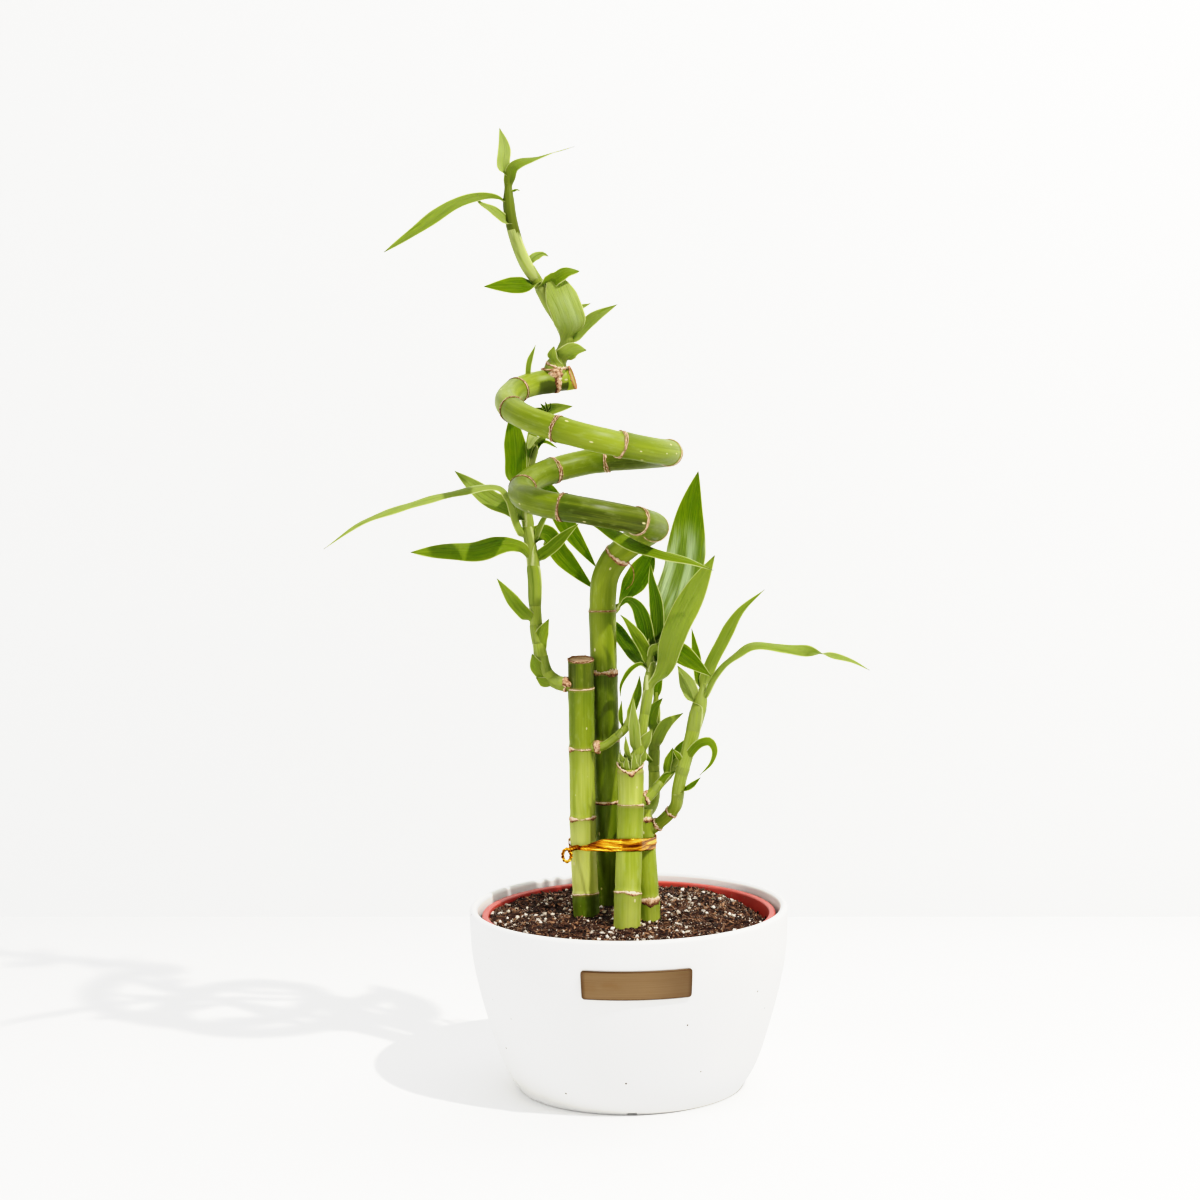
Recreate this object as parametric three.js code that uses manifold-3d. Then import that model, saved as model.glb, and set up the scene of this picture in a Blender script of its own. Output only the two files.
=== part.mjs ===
// Lucky bamboo: four cut canes in a white planter, one of them grown into a spiral, with leafy side shoots.
// Millimetres, +Z up, X to the viewer's right, Y away from the viewer.
// The origin is the centre of the planter's foot, on the table.
import * as THREE from "three";
import { mergeVertices } from "three/addons/utils/BufferGeometryUtils.js";
import Module from "manifold-3d";

const wasm = await Module();
wasm.setup();

// ---- driving dimensions ----
const GAP = 0.3; // between pieces that touch on the real plant

const PLANTER_HEIGHT = 80.5;
const PLANTER_RIM_RADIUS = 70;
const PLANTER_FOOT_RADIUS = 49.3;
const PLANTER_WALL = 3.4;
const PLANTER_FLOOR = 4.5;
const PLANTER_SIDES = 44;
const FOOT_NOTCH = { width: 4, depth: 6, height: 1.1, count: 3 };

const NURSERY_LIP_RADIUS = 64.6;
const NURSERY_TOP = 77.4;
const NURSERY_LIP_HEIGHT = 2.6;
const NURSERY_WALL = 1.2;
const NURSERY_BODY_RADIUS = 62.9;
const NURSERY_FOOT_RADIUS = 46;
const NURSERY_SIDES = 32;
const DRAIN_HOLE_RADIUS = 4;
const DRAIN_HOLE_RING = 30;
const DRAIN_HOLES = 5;

const SOIL_LEVEL = 75.6;
const SOIL_MOUND = 1.1;
const SOIL_BUMP = 0.35;
const SOIL_HOLLOW = 4.5; // how far the soil has sunk beside the right wall
const SOIL_CLEARANCE = 0.5; // from the nursery pot's wall
const SOIL_RINGS = 6;
const SOIL_SIDES = 32;

const PLAQUE = { width: 47.6, height: 12.6, thick: 0.9, corner: 1.3, centreX: 2.5, centreZ: 61.6 };

const TIE_HEIGHT = 110.4;
const FOIL = { width: 5, thick: 0.7, sides: 40 };
const TIE_WIRE_RADIUS = 0.75;

const NODE_RING = { lift: 0.45, half: 0.9 }; // the raised scar round a cane at each node
const CUT_RIM = 0.9;
const CUT_DISH = 0.8;

const BLADE_THICK = 0.7;
const BLADE_STEP = 11; // between the stations of a blade
const STEM_STEP = 7;
const STEM_SIDES = 7;

// ---- canes: the route of the centre line, radii at its ends, and node scars measured along it ----
const CANES = {
  left: {
    route: [[-18, -7, 24], [-18.5, -6, 76.5], [-19.5, -4, 108], [-19.5, -3, 151], [-19.5, -3, 190.5]],
    radius: [5.8, 5.6],
    nodes: [61, 96.5, 127.5, 153.5],
    cut: true,
    step: 14,
    sides: 12,
  },
  front: {
    route: [[-2, -34, 24], [-1, -28, 76.5], [0.5, -20, 111], [1.5, -18, 130.5], [1.5, -17, 145]],
    radius: [6.1, 5.5],
    nodes: [68, 106, 120.5],
    cut: false,
    step: 14,
    sides: 12,
  },
  right: {
    route: [[10, -19, 24], [8.5, -15, 76.5], [7, -9, 108.5], [6, -7, 119.5], [6, -6, 125]],
    radius: [5.4, 5],
    nodes: [62.5, 97],
    cut: false,
    step: 14,
    sides: 12,
  },
  spiral: {
    route: [
      [-9, 22, 24], [-9, 16, 77.5], [-8.5, 7, 105.5], [-9, 6, 153], [-9.5, 6.5, 188.5],
      [-9.5, 8, 215], [-8, 9, 225.5], [-3, 9, 234], [4.5, 4, 241], [11, -7, 246], [13, -22, 249.5],
      [5, -43, 254], [-15, -52, 259], [-35, -43, 262], [-43.5, -22, 265], [-36, -1, 270.5],
      [-13.5, 11, 275.5], [11, 2, 278], [20, -21, 280.5], [9.5, -46, 284], [-14.5, -57, 290],
      [-38.5, -46, 297], [-49, -21, 303.5], [-41, 4, 309], [-21, 13, 312],
    ],
    radius: [6.2, 5.2],
    nodes: [104, 131, 161, 188, 214, 277, 312, 352, 378, 403.5, 449, 490.5, 518.5, 548, 580, 602],
    cut: true,
    step: 10,
    sides: 12,
    bract: {
      route: [[-40.5, 4, 310], [-40, 4, 318.5], [-37, 5, 326.5]],
      width: 2.2, face: [0, -1, 0.15], root: 0.8,
    },
  },
};

// ---- leafy shoots ----
// A blade has a route from its root to its tip, its greatest width, and the way its face looks.
// belly: where along the blade it is widest; root: its width at the root as a share of the greatest;
// fold: how far the edges rise above the midrib as a share of the half width; turn: degrees it twists.
const CAMERA_SIDE = [0, -1, 0.15];
const UPWARD = [0, -0.6, 0.8];

const SHOOTS = {
  shoot_top: {
    grows_from: ["spiral"],
    stem: {
      route: [
        [-29, 9, 312.5], [-28, 9, 317], [-25, 9, 324], [-23.5, 8, 328.5], [-26, 7, 335.5],
        [-30, 6, 342.5], [-35, 4, 352.5], [-40.6, 2, 361.5], [-45, 0, 373.5], [-47.2, 0, 384.5],
        [-47.5, 2, 400.5],
      ],
      radius: [2.9, 2.2],
    },
    scab: { at: [-28.5, 9, 318], size: [4.4, 3.6, 2.4] },
    blades: [
      {
        route: [[-49, 2, 396], [-49.5, 2, 404], [-49, 4, 410.5], [-51, 8, 419.5]],
        width: 5.8, face: CAMERA_SIDE,
      },
      {
        route: [[-47, 0.5, 393], [-46, -1, 401.5], [-43, -3, 404], [-33, -3, 407], [-19, 3, 411]],
        width: 6.4, face: CAMERA_SIDE, tip_face: [-0.2, 0.3, 1], belly: 0.2, root: 0.8,
      },
      {
        route: [
          [-47, 0, 384], [-50.5, -1, 388.5], [-57.5, -5, 390], [-70, -12, 386.5],
          [-86.5, -20, 375.5], [-99.5, -24, 367],
        ],
        width: 7.2, face: UPWARD, belly: 0.55, root: 0.25,
      },
      {
        route: [[-45.5, 0, 376], [-49, -2, 380], [-54.5, -6, 384.5], [-60, -7, 388], [-60.5, -6, 391]],
        width: 2.4, face: UPWARD, belly: 0.3, root: 0.7,
      },
      {
        route: [[-39.5, 2.5, 359], [-37.5, 6, 363.5], [-33, 9, 365.5], [-31, 9, 364.5]],
        width: 3, face: UPWARD,
      },
      {
        route: [[-34, 4, 350.5], [-37, 2, 352], [-43, -1, 352], [-51, -3, 352], [-58.5, -4, 352]],
        width: 8, face: UPWARD,
      },
      {
        route: [[-24, 8, 326.5], [-21, 2, 332.5], [-22.5, -2, 339], [-24.5, -2.5, 345.5], [-26, 0, 352]],
        width: 15.2, face: CAMERA_SIDE, belly: 0.62, root: 0.3, blunt: true, curly: true,
      },
      {
        route: [[-33.5, 3.5, 352], [-28.5, -1, 355], [-23, -2, 358], [-17.5, 0, 358]],
        width: 5.6, face: UPWARD, blunt: true,
      },
      { route: [[-25, 7.5, 334], [-20, 9, 341], [-13, 11, 344]], width: 3.4, face: CAMERA_SIDE },
      {
        route: [[-24, 8.5, 325], [-17, 7, 333], [-11.5, 5, 338], [-1.5, 2, 343.5]],
        width: 4.9, face: CAMERA_SIDE, root: 0.6,
      },
      {
        route: [[-28, 7, 319], [-24.5, 4, 322], [-20, 3, 324.5], [-15, 3, 324]],
        width: 5.4, face: UPWARD, root: 0.6,
      },
      {
        route: [[-28.5, 6.5, 318], [-30, 4, 321], [-29, 3, 326]],
        width: 3.4, face: CAMERA_SIDE, root: 0.6,
      },
      {
        route: [[-46.8, 0.5, 391.5], [-44, -1, 393], [-42.5, -2, 392.5]],
        width: 1.6, face: UPWARD, root: 0.6,
      },
    ],
  },
  shoot_left: {
    grows_from: ["left"],
    stem: {
      route: [
        [-22.5, -3, 179], [-27, -3, 179.5], [-31, -3, 181], [-35, -2.5, 185.5], [-37, -2, 193.5],
        [-38.5, -1, 204], [-39, 1, 215], [-39, 3, 225], [-40.5, 5, 238.5], [-41.5, 6.5, 247.5],
        [-43, 8, 257], [-44, 9, 264.5],
      ],
      radius: [2.6, 2],
    },
    scab: { at: [-26.5, -3, 179.5], size: [2.6, 3.4, 3.4] },
    blades: [
      {
        route: [[-33, -4, 180.5], [-38.5, -5.5, 187.5], [-40.5, -7, 193.5]],
        width: 5, face: CAMERA_SIDE, root: 0.7,
      },
      {
        route: [[-30, -4, 179.5], [-35, -5.5, 180.5], [-39, -6.5, 183]],
        width: 3.4, face: CAMERA_SIDE, root: 0.7,
      },
      {
        route: [[-37, -3, 191], [-36.5, -4.5, 200.5], [-33, -6, 208.5]],
        width: 5, face: CAMERA_SIDE, root: 0.7,
      },
      {
        route: [[-38.5, 0, 205], [-42, -3, 209], [-47, -6, 215], [-55, -11, 227]],
        width: 5.4, face: CAMERA_SIDE,
      },
      {
        route: [
          [-39.5, 3.5, 229], [-44, 1, 239], [-49, -1, 241], [-54.5, -4, 241], [-63.5, -8, 239],
          [-74.5, -13, 239.5], [-91.5, -18, 239.5],
        ],
        width: 9.8, face: UPWARD, belly: 0.58, root: 0.3,
      },
      {
        route: [[-39.5, 4, 229], [-37, 3, 234.5], [-31.5, 0, 239], [-25, -2, 245], [-19.5, -4, 249.5]],
        width: 5.4, face: CAMERA_SIDE,
      },
      {
        route: [
          [-41, 5.5, 240], [-45.5, 2.5, 249], [-49.5, -3, 261], [-54, -6, 266],
          [-71.5, -13, 264.5], [-91.5, -21, 260], [-111, -28, 253.5], [-127, -34, 243],
        ],
        width: 4, face: UPWARD, belly: 0.5, root: 0.6,
      },
      {
        route: [[-41.5, 7, 246], [-48, 5.5, 255.5], [-56.5, 3, 259.5], [-63, 2, 264.5], [-73, 4, 272.5]],
        width: 8, face: CAMERA_SIDE, belly: 0.5,
      },
      {
        route: [
          [-43.5, 8.5, 260], [-46.5, 9.5, 267], [-46.5, 10.5, 277], [-47.5, 12.5, 291],
          [-48, 13.5, 298],
        ],
        width: 9.8, face: CAMERA_SIDE, belly: 0.5, root: 0.4,
      },
      {
        route: [
          [-43.5, 9, 262], [-39.5, 12.5, 276], [-36.5, 12.5, 284.5], [-38, 7.5, 286.5],
          [-41, 5.5, 281],
        ],
        width: 6.4, face: [0, -0.2, 1], belly: 0.7, root: 0.3, blunt: true,
      },
      {
        route: [
          [-43.5, 9.5, 263], [-41, 14, 280.5], [-36.5, 16, 293.5], [-32.5, 16, 297.5],
          [-21.5, 13, 299.5],
        ],
        width: 5.6, face: CAMERA_SIDE, belly: 0.72, root: 0.4,
      },
      {
        route: [[-43, 9, 264], [-39, 13.5, 278.5], [-34.5, 13, 284], [-28.5, 12, 281.5]],
        width: 3, face: UPWARD, belly: 0.7,
      },
      {
        route: [
          [-40.2, 5, 235], [-38, 7, 243], [-34, 9, 244], [-27.5, 13, 234.5], [-19.5, 18, 225],
          [-13, 21, 218],
        ],
        width: 7.2, face: CAMERA_SIDE, root: 0.4,
      },
      {
        route: [
          [-42.8, 8, 256], [-39.5, 11, 264], [-35, 12.5, 263], [-30, 14, 257], [-24.5, 16, 246.5],
          [-12, 22, 227.5],
        ],
        width: 7.2, face: CAMERA_SIDE, root: 0.4,
      },
      {
        route: [
          [-40.2, 4.5, 235], [-37.5, 3, 246.5], [-33.5, 0, 253.5], [-25.5, -6, 255.5],
          [-13, -14, 252.5], [-4, -20, 246.5], [4, -24, 242], [15, -28, 238.5], [27, -31, 235.5],
          [37.5, -33, 231.5],
        ],
        width: 6.6, face: UPWARD, belly: 0.62, root: 0.4,
      },
    ],
  },
  shoot_left_low: {
    grows_from: ["left", "spiral"],
    stem: {
      route: [
        [-15.5, -4.5, 151.5], [-13, -6.5, 152], [-9.5, -8, 153], [-4.5, -10, 157], [0, -11, 161.5],
        [1.5, -9, 167],
      ],
      radius: [2, 1.7],
    },
    scab: { at: [-12.6, -6.8, 152.2], size: [2, 2.4, 2.8] },
    blades: [
      {
        route: [[0.8, -10, 164], [4, -8, 172.5], [5.5, -7, 177.5], [6, -6, 183]],
        width: 4, face: CAMERA_SIDE, root: 0.7,
      },
      {
        route: [[-2, -10.5, 159.5], [-2.5, -11, 166.5], [-2, -11, 173]],
        width: 2.2, face: CAMERA_SIDE, root: 0.7,
      },
    ],
  },
  shoot_bend: {
    grows_from: ["spiral"],
    stem: { route: [[-7, 10, 208.5], [-4, 12.5, 210], [-2, 13.5, 212.5]], radius: [1.8, 1.3] },
    blades: [
      {
        route: [[-3.5, 13, 211], [1, 15, 215.5], [6, 17, 223.5], [10, 18, 230], [13, 19, 236.5]],
        width: 10.8, face: CAMERA_SIDE, belly: 0.55, root: 0.25,
      },
    ],
  },
  shoot_front: {
    grows_from: ["front"],
    stem: {
      route: [
        [2, -17, 143], [3, -16.5, 146.5], [4.5, -16, 149], [6.5, -14.5, 158.5],
        [7.5, -13.5, 165.5], [9, -12, 174], [10, -11, 180.5], [11, -10, 186], [11, -9, 192.5],
        [11.5, -8, 197],
      ],
      radius: [2.6, 1.6],
    },
    scab: { at: [2, -17, 146.6], size: [4.2, 4.2, 2] },
    blades: [
      {
        route: [[1.5, -18.5, 146], [-2, -20.5, 148.5], [-3, -21.5, 152]],
        width: 3.2, face: CAMERA_SIDE, root: 0.8,
      },
      {
        route: [[2, -18, 146.5], [0, -20.5, 152.5], [-0.5, -21, 159]],
        width: 3.4, face: CAMERA_SIDE, root: 0.8,
      },
      {
        route: [[3.5, -17.5, 146.5], [7, -19.5, 149], [8, -20, 153]],
        width: 3.4, face: CAMERA_SIDE, root: 0.8,
      },
      {
        route: [[4, -16.5, 149], [3.5, -19, 158.5], [3, -20, 167.5], [3, -20, 176]],
        width: 5, face: CAMERA_SIDE, root: 0.6,
      },
      {
        route: [[4.6, -16.2, 149.5], [8, -17.5, 156.5], [11, -18, 161.5]],
        width: 3.4, face: CAMERA_SIDE, root: 0.8,
      },
      {
        route: [
          [9.5, -11.5, 176.5], [14, -15, 182.5], [17, -18, 190], [19, -20, 198.5], [23, -21, 209],
          [29.5, -21, 221], [38.5, -23, 237],
        ],
        width: 12.6, face: [-0.35, -1, 0.1], belly: 0.5, root: 0.3,
      },
      {
        route: [
          [11, -9, 190], [14, -4, 198.5], [19, 2, 208.5], [23, 6, 219], [26.5, 9, 229.5],
          [29.5, 12, 253.5], [33, 11, 270.5],
        ],
        width: 18.6, face: [-0.1, -1, 0.1], belly: 0.55, root: 0.2,
      },
      {
        route: [
          [11, -9, 191], [13, -5, 197.5], [14, -2, 206], [13.5, 1, 215], [12, 3, 223.5],
          [11.5, 4, 231],
        ],
        width: 6.2, face: CAMERA_SIDE, root: 0.5,
      },
      {
        route: [[10.8, -10.2, 184.5], [10, -10, 191], [7.5, -9.5, 197], [0.5, -7.5, 207.5], [-2, -7, 210]],
        width: 4.6, face: CAMERA_SIDE,
      },
      {
        route: [
          [10.5, -10.4, 183], [9, -7, 187], [4.5, 0, 191], [0.5, 9, 195.5], [-4, 17, 200.5],
          [-9.5, 21, 203.5], [-13.5, 22, 199], [-15, 22, 189],
        ],
        width: 6.2, face: CAMERA_SIDE, belly: 0.5, root: 0.4,
      },
      {
        route: [
          [11, -9, 190.5], [9.5, -5.5, 198], [8, -4.5, 206.5], [5, -3.5, 213.5], [1, -3, 216],
          [-2.5, -2, 212.5],
        ],
        width: 7, face: CAMERA_SIDE,
      },
      {
        route: [
          [10.6, -10.4, 184], [7, -9.5, 188.5], [3, -9.5, 187], [-2, -8.5, 179.5],
          [-2.5, -8.5, 174.5],
        ],
        width: 2.6, face: UPWARD,
      },
      {
        route: [[11, -10, 185.5], [16, -10, 192.5], [22, -13, 194.5], [27.5, -15, 191], [36.5, -20, 184.5]],
        width: 9, face: CAMERA_SIDE,
      },
      {
        route: [[11, -9.5, 190.5], [12.5, -12.5, 196], [14.5, -14, 198]],
        width: 4, face: CAMERA_SIDE, root: 0.8,
      },
    ],
  },
  shoot_front_side: {
    grows_from: ["front"],
    stem: {
      route: [
        [4.5, -18, 130], [9, -17.5, 132], [13.5, -15.5, 136.5], [17.5, -12, 140],
        [20.5, -8, 143.5], [23.5, -4, 148],
      ],
      radius: [2.4, 1.6],
    },
    scab: { at: [8.2, -17.6, 131.6], size: [2, 2.8, 2.8] },
    blades: [
      {
        route: [[16.5, -12.8, 139.2], [17.5, -12, 145], [20, -10, 152]],
        width: 3.6, face: CAMERA_SIDE, root: 0.8,
      },
      {
        route: [[19, -10, 142], [22, -6, 147], [24, -3, 150.5], [27.5, 0, 155]],
        width: 5.4, face: CAMERA_SIDE, root: 0.7,
      },
      { route: [[13, -16, 136], [17, -16.5, 141], [21, -15, 142.5]], width: 3.4, face: UPWARD, root: 0.8 },
    ],
  },
  shoot_back: {
    grows_from: ["right"],
    stem: {
      route: [
        [7.5, -3, 122], [10, 0, 123.5], [11.5, 2, 126.5], [12, 3, 133], [12, 3.5, 144.5],
        [12.5, 4, 155.5], [13, 4.5, 165.5], [13.5, 5, 174],
      ],
      radius: [2.8, 2.2],
    },
    blades: [
      {
        route: [[12.5, 3.5, 156.5], [10.5, -0.5, 163], [11.5, -3, 168.5], [15.5, -2, 170.5]],
        width: 3.8, face: CAMERA_SIDE, root: 0.6,
      },
      {
        route: [[12, 3, 148], [14, -0.5, 157], [16.5, -1.5, 161.5], [22.5, 0, 165.5]],
        width: 4, face: CAMERA_SIDE, root: 0.7,
      },
      { route: [[13.5, 5, 170], [14.5, 6, 179.5], [15, 6, 189]], width: 3.8, face: CAMERA_SIDE, root: 0.9 },
      { route: [[11.8, 3, 142], [9, 0, 146], [8, -0.5, 149.5]], width: 2.4, face: CAMERA_SIDE, root: 0.8 },
    ],
  },
  shoot_right: {
    grows_from: ["right"],
    stem: {
      route: [
        [9.5, -8, 116], [13, -9, 118], [17.5, -12, 122.5], [21, -15, 127.5], [22, -17.5, 135],
        [23.5, -18.5, 142], [27, -17.5, 154], [29.5, -15, 163], [32, -12, 172], [34, -9.5, 181],
      ],
      radius: [2.6, 2.5],
    },
    scab: { at: [12.2, -8.8, 117.5], size: [2.2, 2.8, 2.8] },
    blades: [
      {
        route: [[22.5, -18, 133], [27.5, -20.5, 137], [31.5, -23, 141]],
        width: 2.6, face: CAMERA_SIDE, root: 0.8,
      },
      {
        route: [
          [24, -18.5, 144.5], [28, -22, 152.5], [32, -25, 156.5], [35.5, -26, 157],
          [37.5, -27, 153.5], [36, -27, 148], [31, -26, 142.5],
        ],
        width: 3.9, face: CAMERA_SIDE, belly: 0.25, root: 0.8, curly: true,
      },
      {
        route: [[24, -18.5, 144.5], [22.5, -20.5, 149.5], [19.5, -22, 153.5]],
        width: 2.6, face: CAMERA_SIDE, root: 0.8,
      },
      {
        route: [
          [33, -10.5, 177.5], [37, -10.5, 188.5], [41, -11.5, 196.5], [49.5, -13.5, 211.5],
          [60, -15, 221],
        ],
        width: 5.6, face: CAMERA_SIDE, belly: 0.3, root: 0.8,
      },
      {
        route: [
          [31.5, -12.5, 170], [35, -14.5, 177.5], [37.5, -16, 183], [41.5, -18, 188.5],
          [47, -21, 193.5], [54, -24, 198], [68, -29, 197.5], [81.5, -33, 195.5], [95, -36, 192.5],
          [103, -37, 188.5],
        ],
        width: 5.2, face: UPWARD, belly: 0.6, root: 0.5, turn: 180, turn_at: 0.72, curly: true,
      },
      {
        route: [[32.5, -10.5, 175], [31, -5.5, 189], [30, -3, 196.5], [29, -2, 203]],
        width: 3, face: CAMERA_SIDE,
      },
      {
        route: [[30.5, -13.5, 167.5], [28, -12, 176.5], [24, -8.5, 185], [22.5, -7.5, 187.5]],
        width: 5, face: CAMERA_SIDE, root: 0.6,
      },
    ],
  },
};

// ---- helpers: vectors, frames, lofts and solids ----
const vec = ([x, y, z]) => new THREE.Vector3(x, y, z);
const smooth = (t) => THREE.MathUtils.smoothstep(t, 0, 1);

function routeCurve(points, closed = false) {
  const curve = new THREE.CatmullRomCurve3(points.map(vec), closed, "centripetal");
  curve.arcLengthDivisions = 400;
  return curve;
}

// A closed body through rings that all have the same number of points. Quads split along their first
// corner, and those from secondDiagonal on along the other, so that a thin blade's two faces split alike.
function loft(rings, { capped = true, secondDiagonal = Infinity } = {}) {
  const size = rings[0].length;
  const positions = rings.flat().flatMap((p) => [p.x, p.y, p.z]);
  const index = [];
  const last = capped ? rings.length - 1 : rings.length;
  for (let i = 0; i < last; i++) {
    const next = (i + 1) % rings.length;
    for (let j = 0; j < size; j++) {
      const a = i * size + j;
      const b = i * size + ((j + 1) % size);
      const c = next * size + ((j + 1) % size);
      const d = next * size + j;
      if (j < secondDiagonal) index.push(a, b, c, a, c, d);
      else index.push(a, b, d, b, c, d);
    }
  }
  if (capped) {
    for (const [first, flip] of [[0, true], [(rings.length - 1) * size, false]]) {
      for (let j = 1; j < size / 2; j++) {
        // a strip between the two halves of the ring, which also suits a bent, thin end
        const quad = [j - 1, j, size - 1 - j, size - j].map((k) => first + k);
        const [a, b, c, d] = flip ? quad.slice().reverse() : quad;
        index.push(a, b, c, a, c, d);
      }
    }
  }
  return geometryFrom(positions, index);
}

function geometryFrom(positions, index) {
  const geometry = new THREE.BufferGeometry();
  geometry.setAttribute("position", new THREE.Float32BufferAttribute(positions, 3));
  geometry.setIndex(index);
  return geometry;
}

// A closed three.js geometry as a manifold-3d solid, turned right side out.
function toSolid(source) {
  const bare = source.clone();
  bare.deleteAttribute("normal");
  bare.deleteAttribute("uv");
  const merged = mergeVertices(bare, 1e-4);
  const build = (order) => {
    const triangles = Uint32Array.from(merged.index.array);
    for (let i = 0; i < triangles.length && order; i += 3) {
      [triangles[i + 1], triangles[i + 2]] = [triangles[i + 2], triangles[i + 1]];
    }
    const vertices = new Float32Array(merged.attributes.position.array);
    return new wasm.Manifold(new wasm.Mesh({ numProp: 3, vertProperties: vertices, triVerts: triangles }));
  };
  const solid = build(false);
  return solid.volume() < 0 ? build(true) : solid;
}

function toGeometry(solid) {
  const mesh = solid.getMesh();
  return geometryFrom(Array.from(mesh.vertProperties), Array.from(mesh.triVerts));
}

const join = (solids) => solids.reduce((all, one) => all.add(one));
const cut = (solid, tools) => tools.reduce((left, tool) => left.subtract(tool), solid);

// The largest closed body of a solid, without the small pockets that crossing blades seal off.
function largestBody(solid) {
  const bodies = solid.decompose();
  return bodies.reduce((largest, body) => (body.volume() > largest.volume() ? body : largest));
}

// Frames at given distances along a curve, carried from one to the next without spinning.
function framesAlong(curve, distances) {
  const length = curve.getLength();
  let side = null;
  return distances.map((distance) => {
    const u = THREE.MathUtils.clamp(distance / length, 0, 1);
    const centre = curve.getPointAt(u);
    const along = curve.getTangentAt(u);
    if (!side) side = Math.abs(along.z) > 0.9 ? new THREE.Vector3(1, 0, 0) : new THREE.Vector3(0, 0, 1);
    side = side.clone().addScaledVector(along, -side.dot(along)).normalize();
    return { centre, along, side, up: along.clone().cross(side) };
  });
}

function ringAt(frame, radius, sides) {
  return Array.from({ length: sides }, (_, k) => {
    const angle = (2 * Math.PI * k) / sides;
    return frame.centre.clone()
      .addScaledVector(frame.side, radius * Math.cos(angle))
      .addScaledVector(frame.up, radius * Math.sin(angle));
  });
}

// ---- canes ----
function caneStations({ route, nodes, step }) {
  const length = routeCurve(route).getLength();
  const marks = [0, ...nodes, length];
  const stations = [0];
  for (let i = 1; i < marks.length; i++) {
    const start = i === 1 ? marks[0] : marks[i - 1] + NODE_RING.half;
    const end = i === marks.length - 1 ? marks[i] : marks[i] - NODE_RING.half;
    const pieces = Math.max(1, Math.round((end - start) / step));
    for (let k = 1; k <= pieces; k++) stations.push(start + ((end - start) * k) / pieces);
    if (i < marks.length - 1) stations.push(marks[i], marks[i] + NODE_RING.half);
  }
  return stations;
}

function caneRadius({ radius, nodes }, distance, length) {
  const plain = THREE.MathUtils.lerp(radius[0], radius[1], distance / length);
  const nearest = Math.min(...nodes.map((node) => Math.abs(node - distance)));
  return plain + NODE_RING.lift * Math.max(0, 1 - nearest / NODE_RING.half);
}

// The cane as it is, or swollen by a margin to cut the room that its neighbours leave for it.
function caneSolid(cane, margin = 0) {
  const curve = routeCurve(cane.route);
  const length = curve.getLength();
  const distances = caneStations(cane);
  const frames = framesAlong(curve, distances);
  const rings = frames.map((frame, i) =>
    ringAt(frame, caneRadius(cane, distances[i], length) + margin, cane.sides));
  if (margin > 0) {
    for (const [at, sign] of [[0, -1], [rings.length - 1, 1]]) {
      rings[at].forEach((p) => p.addScaledVector(frames[at].along, sign * margin));
    }
  } else if (cane.cut) {
    const end = frames.at(-1);
    const dish = { ...end, centre: end.centre.clone().addScaledVector(end.along, -CUT_DISH) };
    rings.push(ringAt(end, cane.radius[1] - CUT_RIM, cane.sides));
    rings.push(ringAt(dish, cane.radius[1] - CUT_RIM - 0.4, cane.sides));
  }
  const body = toSolid(loft(rings));
  return cane.bract && margin === 0 ? body.add(bladeSolid(cane.bract)) : body;
}

// ---- shoots ----
function stemSolid({ route, radius }) {
  const curve = routeCurve(route);
  const length = curve.getLength();
  const count = Math.max(2, Math.round(length / STEM_STEP));
  const distances = Array.from({ length: count + 1 }, (_, i) => (length * i) / count);
  const rings = framesAlong(curve, distances).map((frame, i) =>
    ringAt(frame, THREE.MathUtils.lerp(radius[0], radius[1], i / count), STEM_SIDES));
  return toSolid(loft(rings));
}

// The blade's half width at t, from 0 at the root to 1 at the tip.
function halfWidth({ width, belly = 0.42, root = 0.35, blunt = false }, t) {
  const skew = Math.log(0.5) / Math.log(belly);
  const swell = Math.sin(Math.PI * Math.min(1, t ** skew)) ** (blunt ? 0.55 : 0.85);
  const neck = root * (1 - t) ** 2;
  return Math.max(0.45, (width / 2) * Math.min(1, neck + swell));
}

// A real blade: a thin strip with a raised fold along its midrib, arched along its route.
function bladeSolid(blade) {
  const { route, face, tip_face = face, fold = 0.22, turn = 0, turn_at = 0.5, curly = false } = blade;
  const curve = routeCurve(route);
  const length = curve.getLength();
  const step = curly ? BLADE_STEP / 2 : BLADE_STEP;
  const count = Math.max(3, Math.round(length / step));
  const rings = [];
  for (let i = 0; i <= count; i++) {
    const t = i / count;
    const centre = curve.getPointAt(t);
    const along = curve.getTangentAt(t);
    const towards = vec(face).lerp(vec(tip_face), smooth(t));
    const side = along.clone().cross(towards).normalize();
    const twist = THREE.MathUtils.degToRad(turn * smooth((t - turn_at) / 0.24 + 0.5));
    side.applyAxisAngle(along, twist);
    const up = side.clone().cross(along).normalize();
    const half = halfWidth(blade, t);
    const point = (across, height) => centre.clone()
      .addScaledVector(side, across * half)
      .addScaledVector(up, Math.abs(across) * fold * half + height);
    const top = [-1, 0, 1].map((across) => point(across, BLADE_THICK / 2));
    const underside = [1, 0, -1].map((across) => point(across, -BLADE_THICK / 2));
    rings.push([...top, ...underside]);
  }
  return toSolid(loft(rings, { secondDiagonal: 3 }));
}

function scabSolid({ at, size }) {
  const ball = new THREE.IcosahedronGeometry(1, 1);
  ball.scale(...size);
  ball.translate(...at);
  return toSolid(ball);
}

function shootSolid(shoot) {
  const pieces = [stemSolid(shoot.stem), ...shoot.blades.map(bladeSolid)];
  if (shoot.scab) pieces.push(scabSolid(shoot.scab));
  return largestBody(cut(join(pieces), shoot.grows_from.map((name) => caneSolid(CANES[name], GAP))));
}

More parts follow.
